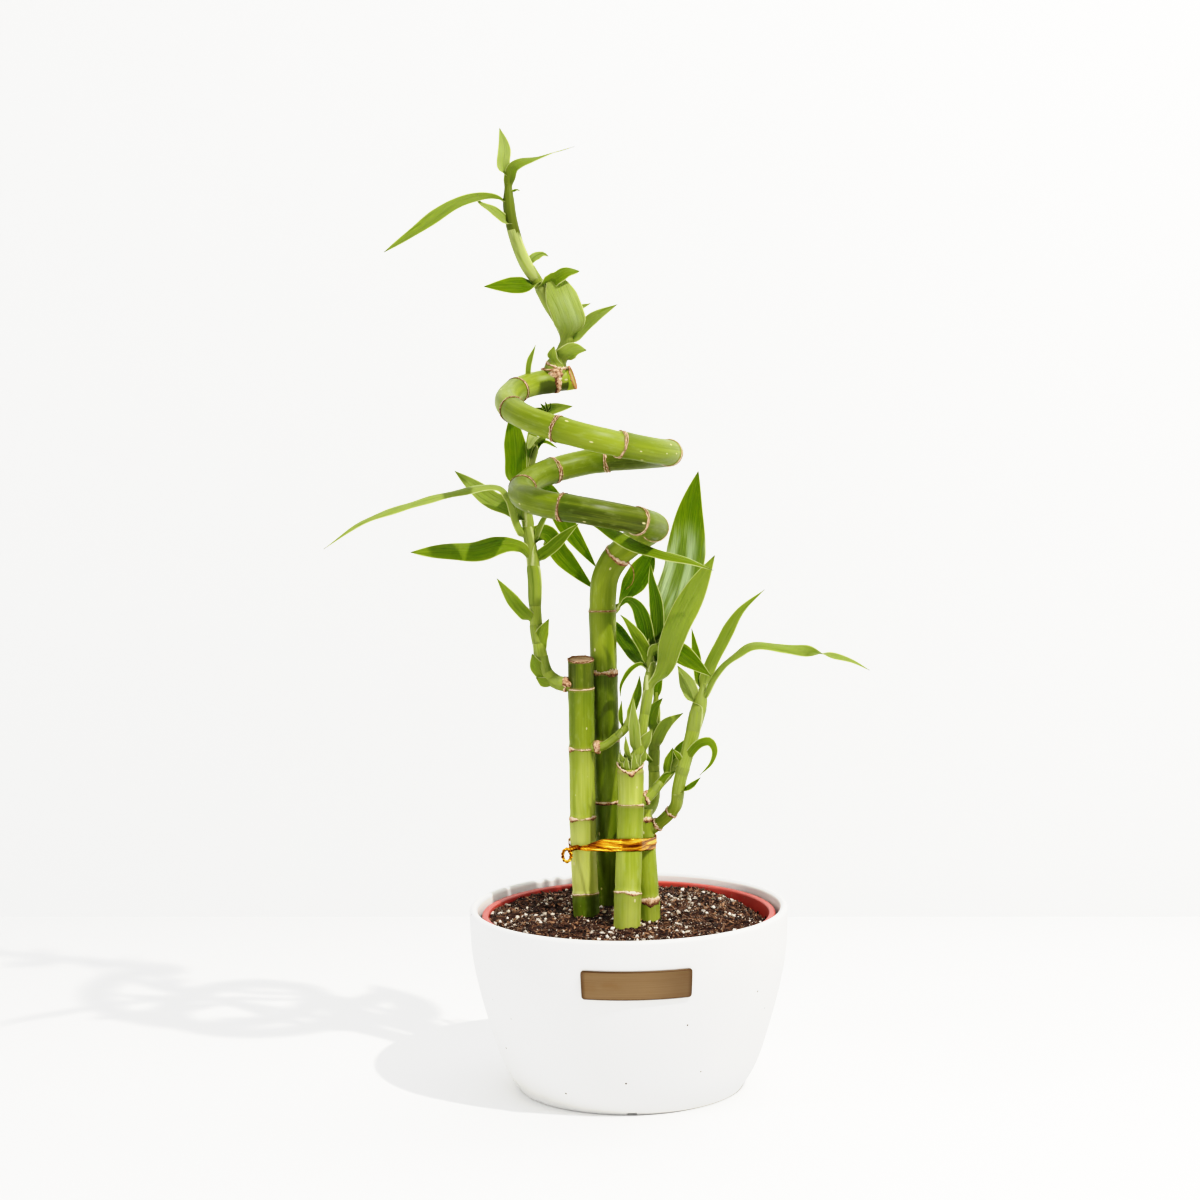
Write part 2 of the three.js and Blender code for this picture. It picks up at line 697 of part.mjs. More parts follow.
// ---- planter, nursery pot and soil ----
const planterOutline = new THREE.SplineCurve([
  new THREE.Vector2(PLANTER_FOOT_RADIUS, 0),
  new THREE.Vector2(55.9, 11),
  new THREE.Vector2(60.9, 25.5),
  new THREE.Vector2(66.1, 44.5),
  new THREE.Vector2(69.1, 61),
  new THREE.Vector2(PLANTER_RIM_RADIUS, 78.8),
]);

// The planter's outer radius at a height, found along its outline.
function planterRadius(height) {
  let low = 0;
  let high = 1;
  for (let i = 0; i < 30; i++) {
    const middle = (low + high) / 2;
    if (planterOutline.getPoint(middle).y < height) low = middle;
    else high = middle;
  }
  return planterOutline.getPoint(low).x;
}

function turned(profile, sides) {
  const lathe = new THREE.LatheGeometry(profile.map(([r, z]) => new THREE.Vector2(r, z)), sides);
  lathe.rotateX(Math.PI / 2);
  return toSolid(lathe);
}

function box(width, depth, height, centre) {
  const block = new THREE.BoxGeometry(width, depth, height);
  block.translate(...centre);
  return block;
}

function planterSolid() {
  const lip = PLANTER_WALL / 2;
  const rimZ = PLANTER_HEIGHT - lip;
  const outside = Array.from({ length: 9 }, (_, i) => {
    const height = (rimZ * i) / 8;
    return [planterRadius(height), height];
  });
  const round = Array.from({ length: 5 }, (_, i) => {
    const angle = (Math.PI * (i + 1)) / 6;
    return [PLANTER_RIM_RADIUS - lip + lip * Math.cos(angle), rimZ + lip * Math.sin(angle)];
  });
  const inside = Array.from({ length: 6 }, (_, i) => {
    const height = THREE.MathUtils.lerp(rimZ, PLANTER_FLOOR + 4, i / 5);
    return [planterRadius(height) - PLANTER_WALL, height];
  });
  const floorRadius = planterRadius(PLANTER_FLOOR) - PLANTER_WALL - 3;
  const floor = [[floorRadius, PLANTER_FLOOR], [0, PLANTER_FLOOR]];
  const profile = [[0, 0], ...outside, ...round, ...inside, ...floor];
  const notches = Array.from({ length: FOOT_NOTCH.count }, (_, i) => {
    const { width, depth, height, count } = FOOT_NOTCH;
    const block = box(width, depth, height * 2, [0, -PLANTER_FOOT_RADIUS, 0]);
    block.rotateZ((2 * Math.PI * i) / count);
    return toSolid(block);
  });
  return cut(turned(profile, PLANTER_SIDES), notches);
}

function nurserySolid() {
  const foot = PLANTER_FLOOR + GAP;
  const step = NURSERY_TOP - NURSERY_LIP_HEIGHT;
  const inner = NURSERY_BODY_RADIUS - NURSERY_WALL;
  const profile = [
    [0, foot],
    [NURSERY_FOOT_RADIUS, foot],
    [NURSERY_BODY_RADIUS, step],
    [NURSERY_LIP_RADIUS, step],
    [NURSERY_LIP_RADIUS, NURSERY_TOP - 0.6],
    [NURSERY_LIP_RADIUS - 0.6, NURSERY_TOP],
    [inner + 0.6, NURSERY_TOP],
    [inner, NURSERY_TOP - 0.8],
    [inner, step],
    [NURSERY_FOOT_RADIUS - NURSERY_WALL, foot + NURSERY_WALL],
    [0, foot + NURSERY_WALL],
  ];
  const holes = Array.from({ length: DRAIN_HOLES }, (_, i) => {
    const angle = (2 * Math.PI * i) / DRAIN_HOLES;
    const drill = new THREE.CylinderGeometry(DRAIN_HOLE_RADIUS, DRAIN_HOLE_RADIUS, 8, 12);
    drill.rotateX(Math.PI / 2);
    drill.translate(DRAIN_HOLE_RING * Math.cos(angle), DRAIN_HOLE_RING * Math.sin(angle), foot);
    return toSolid(drill);
  });
  return cut(turned(profile, NURSERY_SIDES), holes);
}

function soilHeight(radius, angle, edge) {
  const share = radius / edge;
  const bumps = Math.sin(radius * 0.42 + 2 * angle) * Math.cos(3 * angle - radius * 0.21);
  const besideWall = smooth((share - 0.86) / 0.14) * smooth((Math.cos(angle + 0.1) - 0.45) / 0.5);
  return SOIL_LEVEL + SOIL_MOUND * (1 - share * share) + SOIL_BUMP * bumps - SOIL_HOLLOW * besideWall;
}

function soilSolid() {
  const bottom = PLANTER_FLOOR + GAP + NURSERY_WALL + GAP;
  const inner = (z) => {
    const foot = PLANTER_FLOOR + GAP + NURSERY_WALL;
    const share = (z - foot) / (NURSERY_TOP - NURSERY_LIP_HEIGHT - foot);
    const narrow = NURSERY_FOOT_RADIUS - NURSERY_WALL;
    const wide = NURSERY_BODY_RADIUS - NURSERY_WALL;
    return Math.min(wide, THREE.MathUtils.lerp(narrow, wide, share)) - SOIL_CLEARANCE;
  };
  const ring = (radius, height) => Array.from({ length: SOIL_SIDES }, (_, k) => {
    const angle = (2 * Math.PI * k) / SOIL_SIDES;
    return new THREE.Vector3(radius * Math.cos(angle), radius * Math.sin(angle), height(radius, angle));
  });
  const edge = inner(SOIL_LEVEL - SOIL_HOLLOW);
  const rings = [ring(0.01, () => bottom), ring(inner(bottom), () => bottom)];
  for (let i = SOIL_RINGS; i > 0; i--) {
    rings.push(ring((edge * i) / SOIL_RINGS, (radius, angle) => soilHeight(radius, angle, edge)));
  }
  rings.push(ring(0.01, () => SOIL_LEVEL + SOIL_MOUND));
  const holes = Object.values(CANES).map((cane) => caneSolid(cane, GAP));
  return cut(toSolid(loft(rings)), holes);
}

// ---- plaque: a thin plate bent to the planter's wall ----
function plaqueSolid() {
  const { width, height, thick, corner, centreX, centreZ } = PLAQUE;
  const across = [-1, -0.985, -0.955, -0.8, -0.6, -0.4, -0.2, 0, 0.2, 0.4, 0.6, 0.8, 0.955, 0.985, 1];
  const rings = across.map((share) => {
    const s = (share * width) / 2;
    const past = Math.max(0, Math.abs(s) - (width / 2 - corner));
    const tall = height / 2 - corner + Math.sqrt(Math.max(0, corner ** 2 - past ** 2));
    const point = (z, lift) => {
      const radius = planterRadius(z) + lift;
      const angle = -Math.PI / 2 + (centreX + s) / PLANTER_RIM_RADIUS;
      return new THREE.Vector3(radius * Math.cos(angle), radius * Math.sin(angle), z);
    };
    const levels = [centreZ - tall, centreZ, centreZ + tall];
    return [
      ...levels.map((z) => point(z, GAP + thick)),
      ...levels.slice().reverse().map((z) => point(z, GAP)),
    ];
  });
  return toSolid(loft(rings));
}

// ---- tie: a foil band round the four canes, twisted shut into a small wire loop ----
// Where a cane's centre line first reaches a height, and the cane's radius there.
function caneAtHeight(cane, height) {
  const curve = routeCurve(cane.route);
  const length = curve.getLength();
  let distance = 0;
  while (curve.getPointAt(distance / length).z < height) distance += 0.25;
  return { centre: curve.getPointAt(distance / length), radius: caneRadius(cane, distance, length) };
}

// The band is a string pulled tight round the canes: in each direction the furthest cane carries it.
function bandRing(height, margin) {
  const canes = Object.values(CANES).map((cane) => caneAtHeight(cane, height));
  return Array.from({ length: FOIL.sides }, (_, k) => {
    const angle = (2 * Math.PI * k) / FOIL.sides;
    const out = new THREE.Vector3(Math.cos(angle), Math.sin(angle), 0);
    const reach = (cane) => cane.centre.dot(out) + cane.radius;
    const carrier = canes.reduce((best, cane) => (reach(cane) > reach(best) ? cane : best));
    const point = carrier.centre.clone().addScaledVector(out, carrier.radius + margin);
    return point.setZ(height);
  });
}

function tubeSolid(points, radius, sides, closed) {
  const curve = routeCurve(points, closed);
  const length = curve.getLength();
  const count = Math.max(4, Math.round(length / (radius * 2.2)));
  const total = closed ? count : count + 1;
  const distances = Array.from({ length: total }, (_, i) => (length * i) / count);
  const rings = framesAlong(curve, distances).map((frame) => ringAt(frame, radius, sides));
  return toSolid(loft(rings, { capped: !closed }));
}

const TIE_TWIST = [[-22.3, -10.4, 109.6], [-24.3, -11, 108.8], [-26, -11.4, 107.6]];
const TIE_LOOP = [
  [-25.6, -11.6, 108], [-28, -12, 107.6], [-29, -12.2, 104.6], [-28, -12.2, 101.6], [-26.4, -11.8, 104.2],
];

function tieSolid() {
  const half = FOIL.width / 2;
  const margin = GAP + 0.1;
  const rings = [];
  const inLow = bandRing(TIE_HEIGHT - half, margin);
  const outLow = bandRing(TIE_HEIGHT - half, margin + FOIL.thick);
  const outHigh = bandRing(TIE_HEIGHT + half, margin + FOIL.thick);
  const inHigh = bandRing(TIE_HEIGHT + half, margin);
  for (let k = 0; k < FOIL.sides; k++) rings.push([inLow[k], outLow[k], outHigh[k], inHigh[k]]);
  const band = toSolid(loft(rings, { capped: false }));
  const twist = tubeSolid(TIE_TWIST, TIE_WIRE_RADIUS * 1.5, 8, false);
  const loop = tubeSolid(TIE_LOOP, TIE_WIRE_RADIUS, 6, true);
  return cut(join([band, twist, loop]), Object.values(CANES).map((cane) => caneSolid(cane, GAP)));
}

// ---- finishes ----
const finish = (color, roughness, metalness = 0) =>
  new THREE.MeshStandardMaterial({ color, roughness, metalness });
const WHITE_STONEWARE = finish(0xe9e7e3, 0.62);
const RED_PLASTIC = finish(0xa8342b, 0.5);
const POTTING_MIX = finish(0x2f2019, 0.95);
const BRUSHED_BRASS = finish(0x8f7145, 0.38, 0.9);
const GOLD_FOIL = finish(0xd79a2b, 0.22, 0.9);
const CANE_GREEN = finish(0x6f9a2f, 0.38);
const LEAF_GREEN = finish(0x5d8f24, 0.42);

function piece(name, solid, material) {
  const geometry = toGeometry(solid);
  geometry.computeVertexNormals();
  const mesh = new THREE.Mesh(geometry, material);
  mesh.name = name;
  return mesh;
}

const group = new THREE.Group();
group.name = "lucky_bamboo";
group.add(piece("planter", planterSolid(), WHITE_STONEWARE));
group.add(piece("nursery_pot", nurserySolid(), RED_PLASTIC));
group.add(piece("soil", soilSolid(), POTTING_MIX));
group.add(piece("plaque", plaqueSolid(), BRUSHED_BRASS));
group.add(piece("tie", tieSolid(), GOLD_FOIL));
for (const [name, cane] of Object.entries(CANES)) {
  group.add(piece("cane_" + name, caneSolid(cane), CANE_GREEN));
}
for (const [name, shoot] of Object.entries(SHOOTS)) {
  group.add(piece(name, shootSolid(shoot), LEAF_GREEN));
}

export default group;
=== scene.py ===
# %% [markdown]
# # A lucky bamboo in a white planter
# Four cut canes stand in potting mix, tied with gold foil. Three are straight, one was trained into a spiral,
# and leafy shoots grow from their nodes. The packed model gives every piece its size and place. This script
# gives each one its finished surface: it builds finer meshes on the same routes, in the same frame, and
# paints them with procedural materials. Sizes are written in millimetres and are turned into Blender's metres
# with `MM` as they are handed over.

# %% Load the fixed frame
import math
from types import SimpleNamespace

import bmesh
import bpy
import numpy as np
from mathutils import Matrix, Vector, noise


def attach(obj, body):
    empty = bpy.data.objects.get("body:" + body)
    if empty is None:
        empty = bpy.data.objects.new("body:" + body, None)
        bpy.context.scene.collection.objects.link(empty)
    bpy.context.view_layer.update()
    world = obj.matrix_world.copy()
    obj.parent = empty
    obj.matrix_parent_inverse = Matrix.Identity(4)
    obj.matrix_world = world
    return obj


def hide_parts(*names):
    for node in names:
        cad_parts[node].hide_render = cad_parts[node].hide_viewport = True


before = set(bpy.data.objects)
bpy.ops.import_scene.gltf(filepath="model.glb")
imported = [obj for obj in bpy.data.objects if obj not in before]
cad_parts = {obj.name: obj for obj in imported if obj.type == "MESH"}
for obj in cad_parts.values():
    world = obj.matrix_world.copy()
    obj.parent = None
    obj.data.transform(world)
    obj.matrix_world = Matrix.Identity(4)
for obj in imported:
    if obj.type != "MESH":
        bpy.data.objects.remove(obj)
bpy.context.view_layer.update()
MM = 0.001


# %% [markdown]
# ## Camera
# The picture was taken from a little above the rim, with a long lens, slightly turned about its own axis.
# The place and tilt come from the ellipses of the rim and the foot. Blender's camera looks along its own -Z,
# so a quarter turn about X points it along +Y, less the angle by which it looks down.

# %% The photograph's viewpoint
CAMERA_PLACE = (-10.7, -1224.4, 358.5)
LOOKS_DOWN = 6.65
ROLLED = -0.8
LENS = 85

camera_data = bpy.data.cameras.new("camera")
camera_data.lens = LENS
camera_data.sensor_width = 36
camera = bpy.data.objects.new("camera", camera_data)
camera.matrix_world = (
    Matrix.Translation(Vector(CAMERA_PLACE) * MM)
    @ Matrix.Rotation(math.radians(90 - LOOKS_DOWN), 4, "X")
    @ Matrix.Rotation(math.radians(ROLLED), 4, "Z")
)
scene = bpy.context.scene
scene.collection.objects.link(camera)
scene.camera = camera
print("camera at", CAMERA_PLACE, "mm, lens", LENS, "mm")

# %% [markdown]
# ## Studio
# One small lamp from the front right throws the crisp shadow of the pot and the wider, softer one of the
# coil. Their sizes and blur on the table give its place, about 1.4 m away.

# %% Lamp
LAMP_PLACE = (574, -556, 1173)
LAMP_POWER = 76
LAMP_RADIUS = 16

lamp_data = bpy.data.lights.new("lamp", "POINT")
lamp_data.energy = LAMP_POWER
lamp_data.shadow_soft_size = LAMP_RADIUS * MM
lamp_data.color = (1, 0.975, 0.93)
lamp = bpy.data.objects.new("lamp", lamp_data)
lamp.location = Vector(LAMP_PLACE) * MM
scene.collection.objects.link(lamp)
print("lamp of", LAMP_POWER, "W at", LAMP_PLACE, "mm")

# %% [markdown]
# A tall weak softbox at the left puts the pale band on the upright canes, and a bright white room fills the
# rest. The softbox is aimed at the middle of the plant: `to_track_quat` turns a direction into a rotation.

# %% Softbox and room
SOFTBOX_PLACE = (-1130, -430, 330)
SOFTBOX_AIM = (0, 0, 200)
SOFTBOX_SIZE = (200, 800)
SOFTBOX_POWER = 4.4
ROOM_LIGHT = 0.84

softbox_data = bpy.data.lights.new("softbox", "AREA")
softbox_data.shape = "RECTANGLE"
softbox_data.size, softbox_data.size_y = (side * MM for side in SOFTBOX_SIZE)
softbox_data.energy = SOFTBOX_POWER
softbox = bpy.data.objects.new("softbox", softbox_data)
softbox.location = Vector(SOFTBOX_PLACE) * MM
facing = Vector(SOFTBOX_AIM) - Vector(SOFTBOX_PLACE)
softbox.rotation_euler = facing.to_track_quat("-Z", "Y").to_euler()
scene.collection.objects.link(softbox)

world = bpy.data.worlds.new("bright room")
world.use_nodes = True
background = world.node_tree.nodes["Background"].inputs
background["Color"].default_value = (0.97, 0.985, 1, 1)
background["Strength"].default_value = ROOM_LIGHT
scene.world = world
print("softbox of", SOFTBOX_POWER, "W at", SOFTBOX_PLACE, "mm, room light", ROOM_LIGHT)

# %% [markdown]
# A picture this bright clips in a plain view. A curve rolls the highlights off as a camera does, and deepens
# the darks. With the white level at 2, the curve runs over light up to twice as bright as white.

# %% Film curve
WHITE_LEVEL = 2
FILM_CURVE = [
    (0.015, 0.011), (0.04, 0.052), (0.08, 0.145), (0.15, 0.305), (0.35, 0.70), (0.42, 0.81), (0.62, 0.895),
    (0.8, 0.96),
]

scene.view_settings.view_transform = "Standard"
scene.view_settings.use_curve_mapping = True
tone = scene.view_settings.curve_mapping
tone.white_level = (WHITE_LEVEL,) * 3
for point in FILM_CURVE:
    tone.curves[3].points.new(*point)
tone.update()
print("film curve through", len(FILM_CURVE), "points between black and white")

# %% [markdown] The table is pale, and a wall stands close behind the plant. The wall is one-sided, like a
# stage wall, so that it never hides the plant from someone behind it.

# %% Table and wall
WALL_BEHIND = 324.5
WALL_TURNED = -3.5
SQUARE = ((-1, -1), (1, -1), (1, 1), (-1, 1))
TABLE_SIZE, TABLE_COLOUR = (6000, 6000), (0.86, 0.855, 0.845)
WALL_SIZE, WALL_COLOUR = (6000, 4000), (0.825, 0.825, 0.815)


def clear_from_behind(material):
    """Makes a material's surface clear where it is seen from its back."""
    nodes, link = material.node_tree.nodes, material.node_tree.links.new
    side = nodes.new("ShaderNodeNewGeometry")
    clear = nodes.new("ShaderNodeBsdfTransparent")
    either = nodes.new("ShaderNodeMixShader")
    link(side.outputs["Backfacing"], either.inputs[0])
    link(nodes["Principled BSDF"].outputs[0], either.inputs[1])
    link(clear.outputs[0], either.inputs[2])
    link(either.outputs[0], nodes["Material Output"].inputs["Surface"])


def stage_plane(name, size, matrix, colour, one_sided=False):
    """A flat pale surface of the studio."""
    mesh = bpy.data.meshes.new(name)
    corners = [(x * size[0] / 2, y * size[1] / 2, 0) for x, y in SQUARE]
    mesh.from_pydata([Vector(c) * MM for c in corners], [], [(0, 1, 2, 3)])
    plane = bpy.data.objects.new(name, mesh)
    plane.matrix_world = matrix
    scene.collection.objects.link(plane)
    paint = bpy.data.materials.new(name)
    paint.use_nodes = True
    surface = paint.node_tree.nodes["Principled BSDF"].inputs
    surface["Base Color"].default_value = (*colour, 1)
    surface["Roughness"].default_value = 0.9
    if one_sided:
        clear_from_behind(paint)
    mesh.materials.append(paint)


stage_plane("table", TABLE_SIZE, Matrix.Identity(4), TABLE_COLOUR)
wall_place = (
    Matrix.Translation(Vector((0, WALL_BEHIND, 0)) * MM)
    @ Matrix.Rotation(math.radians(WALL_TURNED), 4, "Z")
    @ Matrix.Rotation(math.radians(90), 4, "X")
)
stage_plane("wall", WALL_SIZE, wall_place, WALL_COLOUR, one_sided=True)
print("table in place, wall", WALL_BEHIND, "mm behind the middle of the plant")

# %% [markdown]
# ## Helpers for shapes
# Most pieces follow a route: a few given points that a smooth curve passes through. `follow` walks it in
# even steps. The curve's speed at a point follows the gaps to its neighbours, so that it doesn't overshoot
# where two points lie close together.

# %% A smooth route in even steps
CURVE_DETAIL = 24


def unit(vectors):
    """The same directions at length one."""
    return vectors / np.linalg.norm(vectors, axis=-1, keepdims=True)


def cubic(start, end, leave, arrive, steps):
    """Points of the cubic curve from start to end that leaves and arrives at the given speeds."""
    share = np.linspace(0, 1, steps, endpoint=False)[:, None]
    bend = 3 * (end - start) - 2 * leave - arrive
    twist = leave + arrive - 2 * (end - start)
    return start + share * (leave + share * (bend + share * twist))


def run_of(line):
    """How far along a line each of its points lies."""
    return np.concatenate([[0], np.cumsum(np.linalg.norm(np.diff(line, axis=0), axis=1))])


def read_off(distance, run, rows):
    """What rows, such as places, hold at a distance or at several."""
    return np.stack([np.interp(distance, run, column) for column in rows.T], -1)


def follow(points, step, closed=False):
    """Points every step along the smooth curve through the given ones, its directions, and the distances."""
    points = np.array(points, float)
    if closed:
        points = np.vstack([points[-1:], points, points[:2]])
    else:
        points = np.vstack([2 * points[0] - points[1], points, 2 * points[-1] - points[-2]])
    dense = []
    for before, start, end, after in zip(points, points[1:], points[2:], points[3:]):
        gaps = (start - before, end - start, after - end)
        first, middle, last = (math.sqrt(np.linalg.norm(gap)) for gap in gaps)
        across = (end - start) / middle
        leave = middle * ((start - before) / first - (end - before) / (first + middle) + across)
        arrive = middle * (across - (after - start) / (middle + last) + (after - end) / last)
        dense.append(cubic(start, end, leave, arrive, CURVE_DETAIL))
    dense = np.vstack([*dense, points[-2:-1]])
    run = run_of(dense)
    distances = np.linspace(0, run[-1], max(3, round(run[-1] / step)) + 1)
    line = read_off(distances, run, dense)
    return line, unit(np.gradient(line, axis=0)), distances


print("a straight route of 30 mm in steps of 10:", follow([(0, 0, 0), (20, 0, 0), (30, 0, 0)], 10)[2])

# %% [markdown]
# `loft` skins a row of rings that all have the same number of points. `skin` adds a material and what each
# vertex knows, such as its place along a leaf. `add_piece` turns such parts into one object on the model's
# only body. It stays at the origin with its place in its mesh, because a pattern on Object coordinates would
# slide if the object were moved.

# %% Skins and pieces
def loft(rings, capped=True, closed=False):
    """Vertices and faces of a skin through rings. Closed, the last ring joins the first."""
    rings = np.asarray(rings)
    count, size = rings.shape[:2]
    faces = []
    for i in range(count if closed else count - 1):
        here, there = i * size, (i + 1) % count * size
        for j in range(size):
            k = (j + 1) % size
            faces.append((here + j, here + k, there + k, there + j))
    if capped and not closed:
        faces.append(tuple(range(size - 1, -1, -1)))
        faces.append(tuple((count - 1) * size + j for j in range(size)))
    return rings.reshape(-1, 3), faces


def skin(rings, material, closed=False, **attributes):
    """One part of a piece: a lofted skin with its material and its values at each vertex."""
    vertices, faces = loft(rings, closed=closed)
    return {"vertices": vertices, "faces": faces, "material": material, "attributes": attributes}


def finish_object(piece, nodes):
    """Puts a finished object on the one body of the model and hides the nodes that it replaces."""
    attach(piece, "root")
    if nodes:
        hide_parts(*nodes)
    print(f"{piece.name}: {len(piece.data.polygons)} faces")
    return piece


def mesh_object(name, vertices, faces):
    """An object from vertices in millimetres."""
    mesh = bpy.data.meshes.new(name)
    mesh.from_pydata((np.asarray(vertices) * MM).tolist(), [], faces)
    piece = bpy.data.objects.new(name, mesh)
    scene.collection.objects.link(piece)
    return piece


def store_attribute(piece, name, parts):
    """Writes the values of all parts to a mesh. A part without them gets zeros."""
    example = next(part["attributes"][name] for part in parts if name in part["attributes"])
    blanks = [np.zeros((len(part["vertices"]), *example.shape[1:])) for part in parts]
    values = np.concatenate([part["attributes"].get(name, blank) for part, blank in zip(parts, blanks)])
    kind, field = ("FLOAT_VECTOR", "vector") if example.ndim == 2 else ("FLOAT", "value")
    attribute = piece.data.attributes.new(name, kind, "POINT")
    attribute.data.foreach_set(field, values.astype(np.float32).ravel())


def add_piece(name, parts, slot, *nodes):
    """Joins parts into one smooth-shaded object that replaces the nodes named."""
    starts = np.cumsum([0] + [len(part["vertices"]) for part in parts])
    faces = [tuple(v + start for v in face) for part, start in zip(parts, starts) for face in part["faces"]]
    piece = mesh_object(name, np.vstack([part["vertices"] for part in parts]), faces)
    materials = list(dict.fromkeys(part["material"] for part in parts))
    for material in materials:
        piece.data.materials.append(material)
    index = [materials.index(part["material"]) for part in parts for _ in part["faces"]]
    piece.data.polygons.foreach_set("material_index", index)
    piece.data.polygons.foreach_set("use_smooth", [True] * len(faces))
    for key in dict.fromkeys(key for part in parts for key in part["attributes"]):
        store_attribute(piece, key, parts)
    piece.data.validate()
    return finish_object(piece, nodes)


print("a skin through 3 rings of 8 points has", len(loft(np.zeros((3, 8, 3)))[1]), "faces")

# %% [markdown]
# Nothing that grew or was crumpled is even. `rough` gives each point its own bump from smooth noise, the same
# in every run, and `smooth_step` fades one thing into another.

# %% Unevenness and soft steps
def rough(points, size, seed=0.0):
    """Smooth noise from -1 to 1 at each point, with bumps about size across."""
    shift = Vector((seed * 17.3, seed * 5.1, -seed * 9.7))
    return np.array([noise.noise(Vector(p) / size + shift) for p in np.asarray(points, float)])


def smooth_step(value, low, high):
    """0 below low, 1 above high, and a soft rise between them."""
    t = np.clip((np.asarray(value, float) - low) / (high - low), 0, 1)
    return t * t * (3 - 2 * t)


print("smooth_step from 0 to 1 at a quarter:", float(smooth_step(0.25, 0, 1)))

# %% [markdown]
# ## Helpers for materials
# Every finish is a small node tree round one Principled shader. `Paint` adds and links nodes in one line
# each, so that a material reads as a recipe: which coordinates, which noise, which colours. Geometry Nodes
# trees are written in the same short way, so both share a base class.

# %% Node trees in short
class NodeTree:
    """A node tree under construction."""

    def node(self, kind, inputs=(), **settings):
        """Adds a node. An input that is another node's socket is linked, any other is set."""
        made = self.tree.nodes.new(kind)
        for key, value in settings.items():
            setattr(made, key, value)
        for socket, value in dict(inputs).items():
            if isinstance(value, bpy.types.NodeSocket):
                self.tree.links.new(value, made.inputs[socket])
            else:
                made.inputs[socket].default_value = value
        return made

    def output(self, kind, inputs=(), **settings):
        """Adds a node and gives its first output."""
        return self.node(kind, inputs, **settings).outputs[0]

    def math(self, operation, first, second=0.0, third=0.0):
        return self.output("ShaderNodeMath", {0: first, 1: second, 2: third}, operation=operation)

    def times(self, first, second):
        return self.math("MULTIPLY", first, second)

    def split(self, vector):
        """The x, y and z of a vector."""
        return self.node("ShaderNodeSeparateXYZ", {"Vector": vector}).outputs

    def vector(self, x=0.0, y=0.0, z=0.0):
        return self.output("ShaderNodeCombineXYZ", {"X": x, "Y": y, "Z": z})


class Paint(NodeTree):
    """A material under construction, with one Principled shader."""

    def __init__(self, name, **sockets):
        self.material = bpy.data.materials.new(name)
        self.material.use_nodes = True
        self.tree = self.material.node_tree
        self.shader = self.tree.nodes["Principled BSDF"]
        for socket, value in sockets.items():
            self.shader.inputs[socket.replace("_", " ")].default_value = value

    def value(self, name):
        """A number that the mesh holds at each vertex."""
        return self.node("ShaderNodeAttribute", attribute_name=name).outputs["Fac"]

    def values(self, name):
        """The three numbers of a vector that the mesh holds at each vertex."""
        return self.split(self.node("ShaderNodeAttribute", attribute_name=name).outputs["Vector"])

    def object_place(self):
        return self.node("ShaderNodeTexCoord").outputs["Object"]

    def stretched(self, vector, scale):
        return self.output("ShaderNodeMapping", {"Vector": vector, "Scale": scale})

    def noise(self, vector, scale, detail=3, roughness=0.55):
        inputs = {"Vector": vector, "Scale": scale, "Detail": detail, "Roughness": roughness}
        return self.node("ShaderNodeTexNoise", inputs).outputs["Fac"]

    def spots(self, vector, scale, rare, core, edge, strength=1.0):
        """Small round spots, one in every cell of a Voronoi pattern whose chance is above rare."""
        cells = self.node("ShaderNodeTexVoronoi", {"Vector": vector, "Scale": scale}).outputs
        chance = self.output("ShaderNodeSeparateColor", {"Color": cells["Color"]})
        spot = self.between(cells["Distance"], core, edge, strength, 0)
        return self.times(spot, self.math("GREATER_THAN", chance, rare))

    def ramp(self, value, *stops):
        """A colour for each value, from stops of a place and a colour."""
        made = self.node("ShaderNodeValToRGB", {"Fac": value})
        while len(made.color_ramp.elements) < len(stops):
            made.color_ramp.elements.new(0.5)
        for element, (place, colour) in zip(made.color_ramp.elements, stops):
            element.position = place
            element.color = (*colour, 1)
        return made.outputs["Color"]

    def mix(self, share, first, second):
        """A share of the second colour over the first."""
        made = self.node("ShaderNodeMix", data_type="RGBA")
        for socket, value in zip((made.inputs[0], made.inputs[6], made.inputs[7]), (share, first, second)):
            if isinstance(value, bpy.types.NodeSocket):
                self.tree.links.new(value, socket)
            else:
                socket.default_value = (*value, 1) if isinstance(value, tuple) else value
        return made.outputs[2]

    def between(self, value, low, high, to_low=0.0, to_high=1.0):
        """A soft step from to_low to to_high while the value goes from low to high."""
        inputs = {"Value": value, "From Min": low, "From Max": high, "To Min": to_low, "To Max": to_high}
        return self.output("ShaderNodeMapRange", inputs, interpolation_type="SMOOTHSTEP")

    def finish(self, colour, roughness=None, height=None, depth=0.1):
        """Links the colour, the roughness and a bump with a depth in millimetres."""
        self.tree.links.new(colour, self.shader.inputs["Base Color"])
        if roughness is not None:
            self.tree.links.new(roughness, self.shader.inputs["Roughness"])
        if height is not None:
            bump = self.output("ShaderNodeBump", {"Height": height, "Distance": depth * MM, "Strength": 1.0})
            self.tree.links.new(bump, self.shader.inputs["Normal"])
        print(f"{self.material.name}: {len(self.tree.nodes)} nodes")
        return self.material


print("short ways to paint:", [name for name in vars(Paint) if name[0] != "_"])

# %% [markdown]
# ## Planter
# The cover pot is cast white stoneware with a matte glaze, a few dark specks and a faint upright texture from
# the mould. A pattern of cells gives the specks: each cell has one, and half of them are left out by chance.

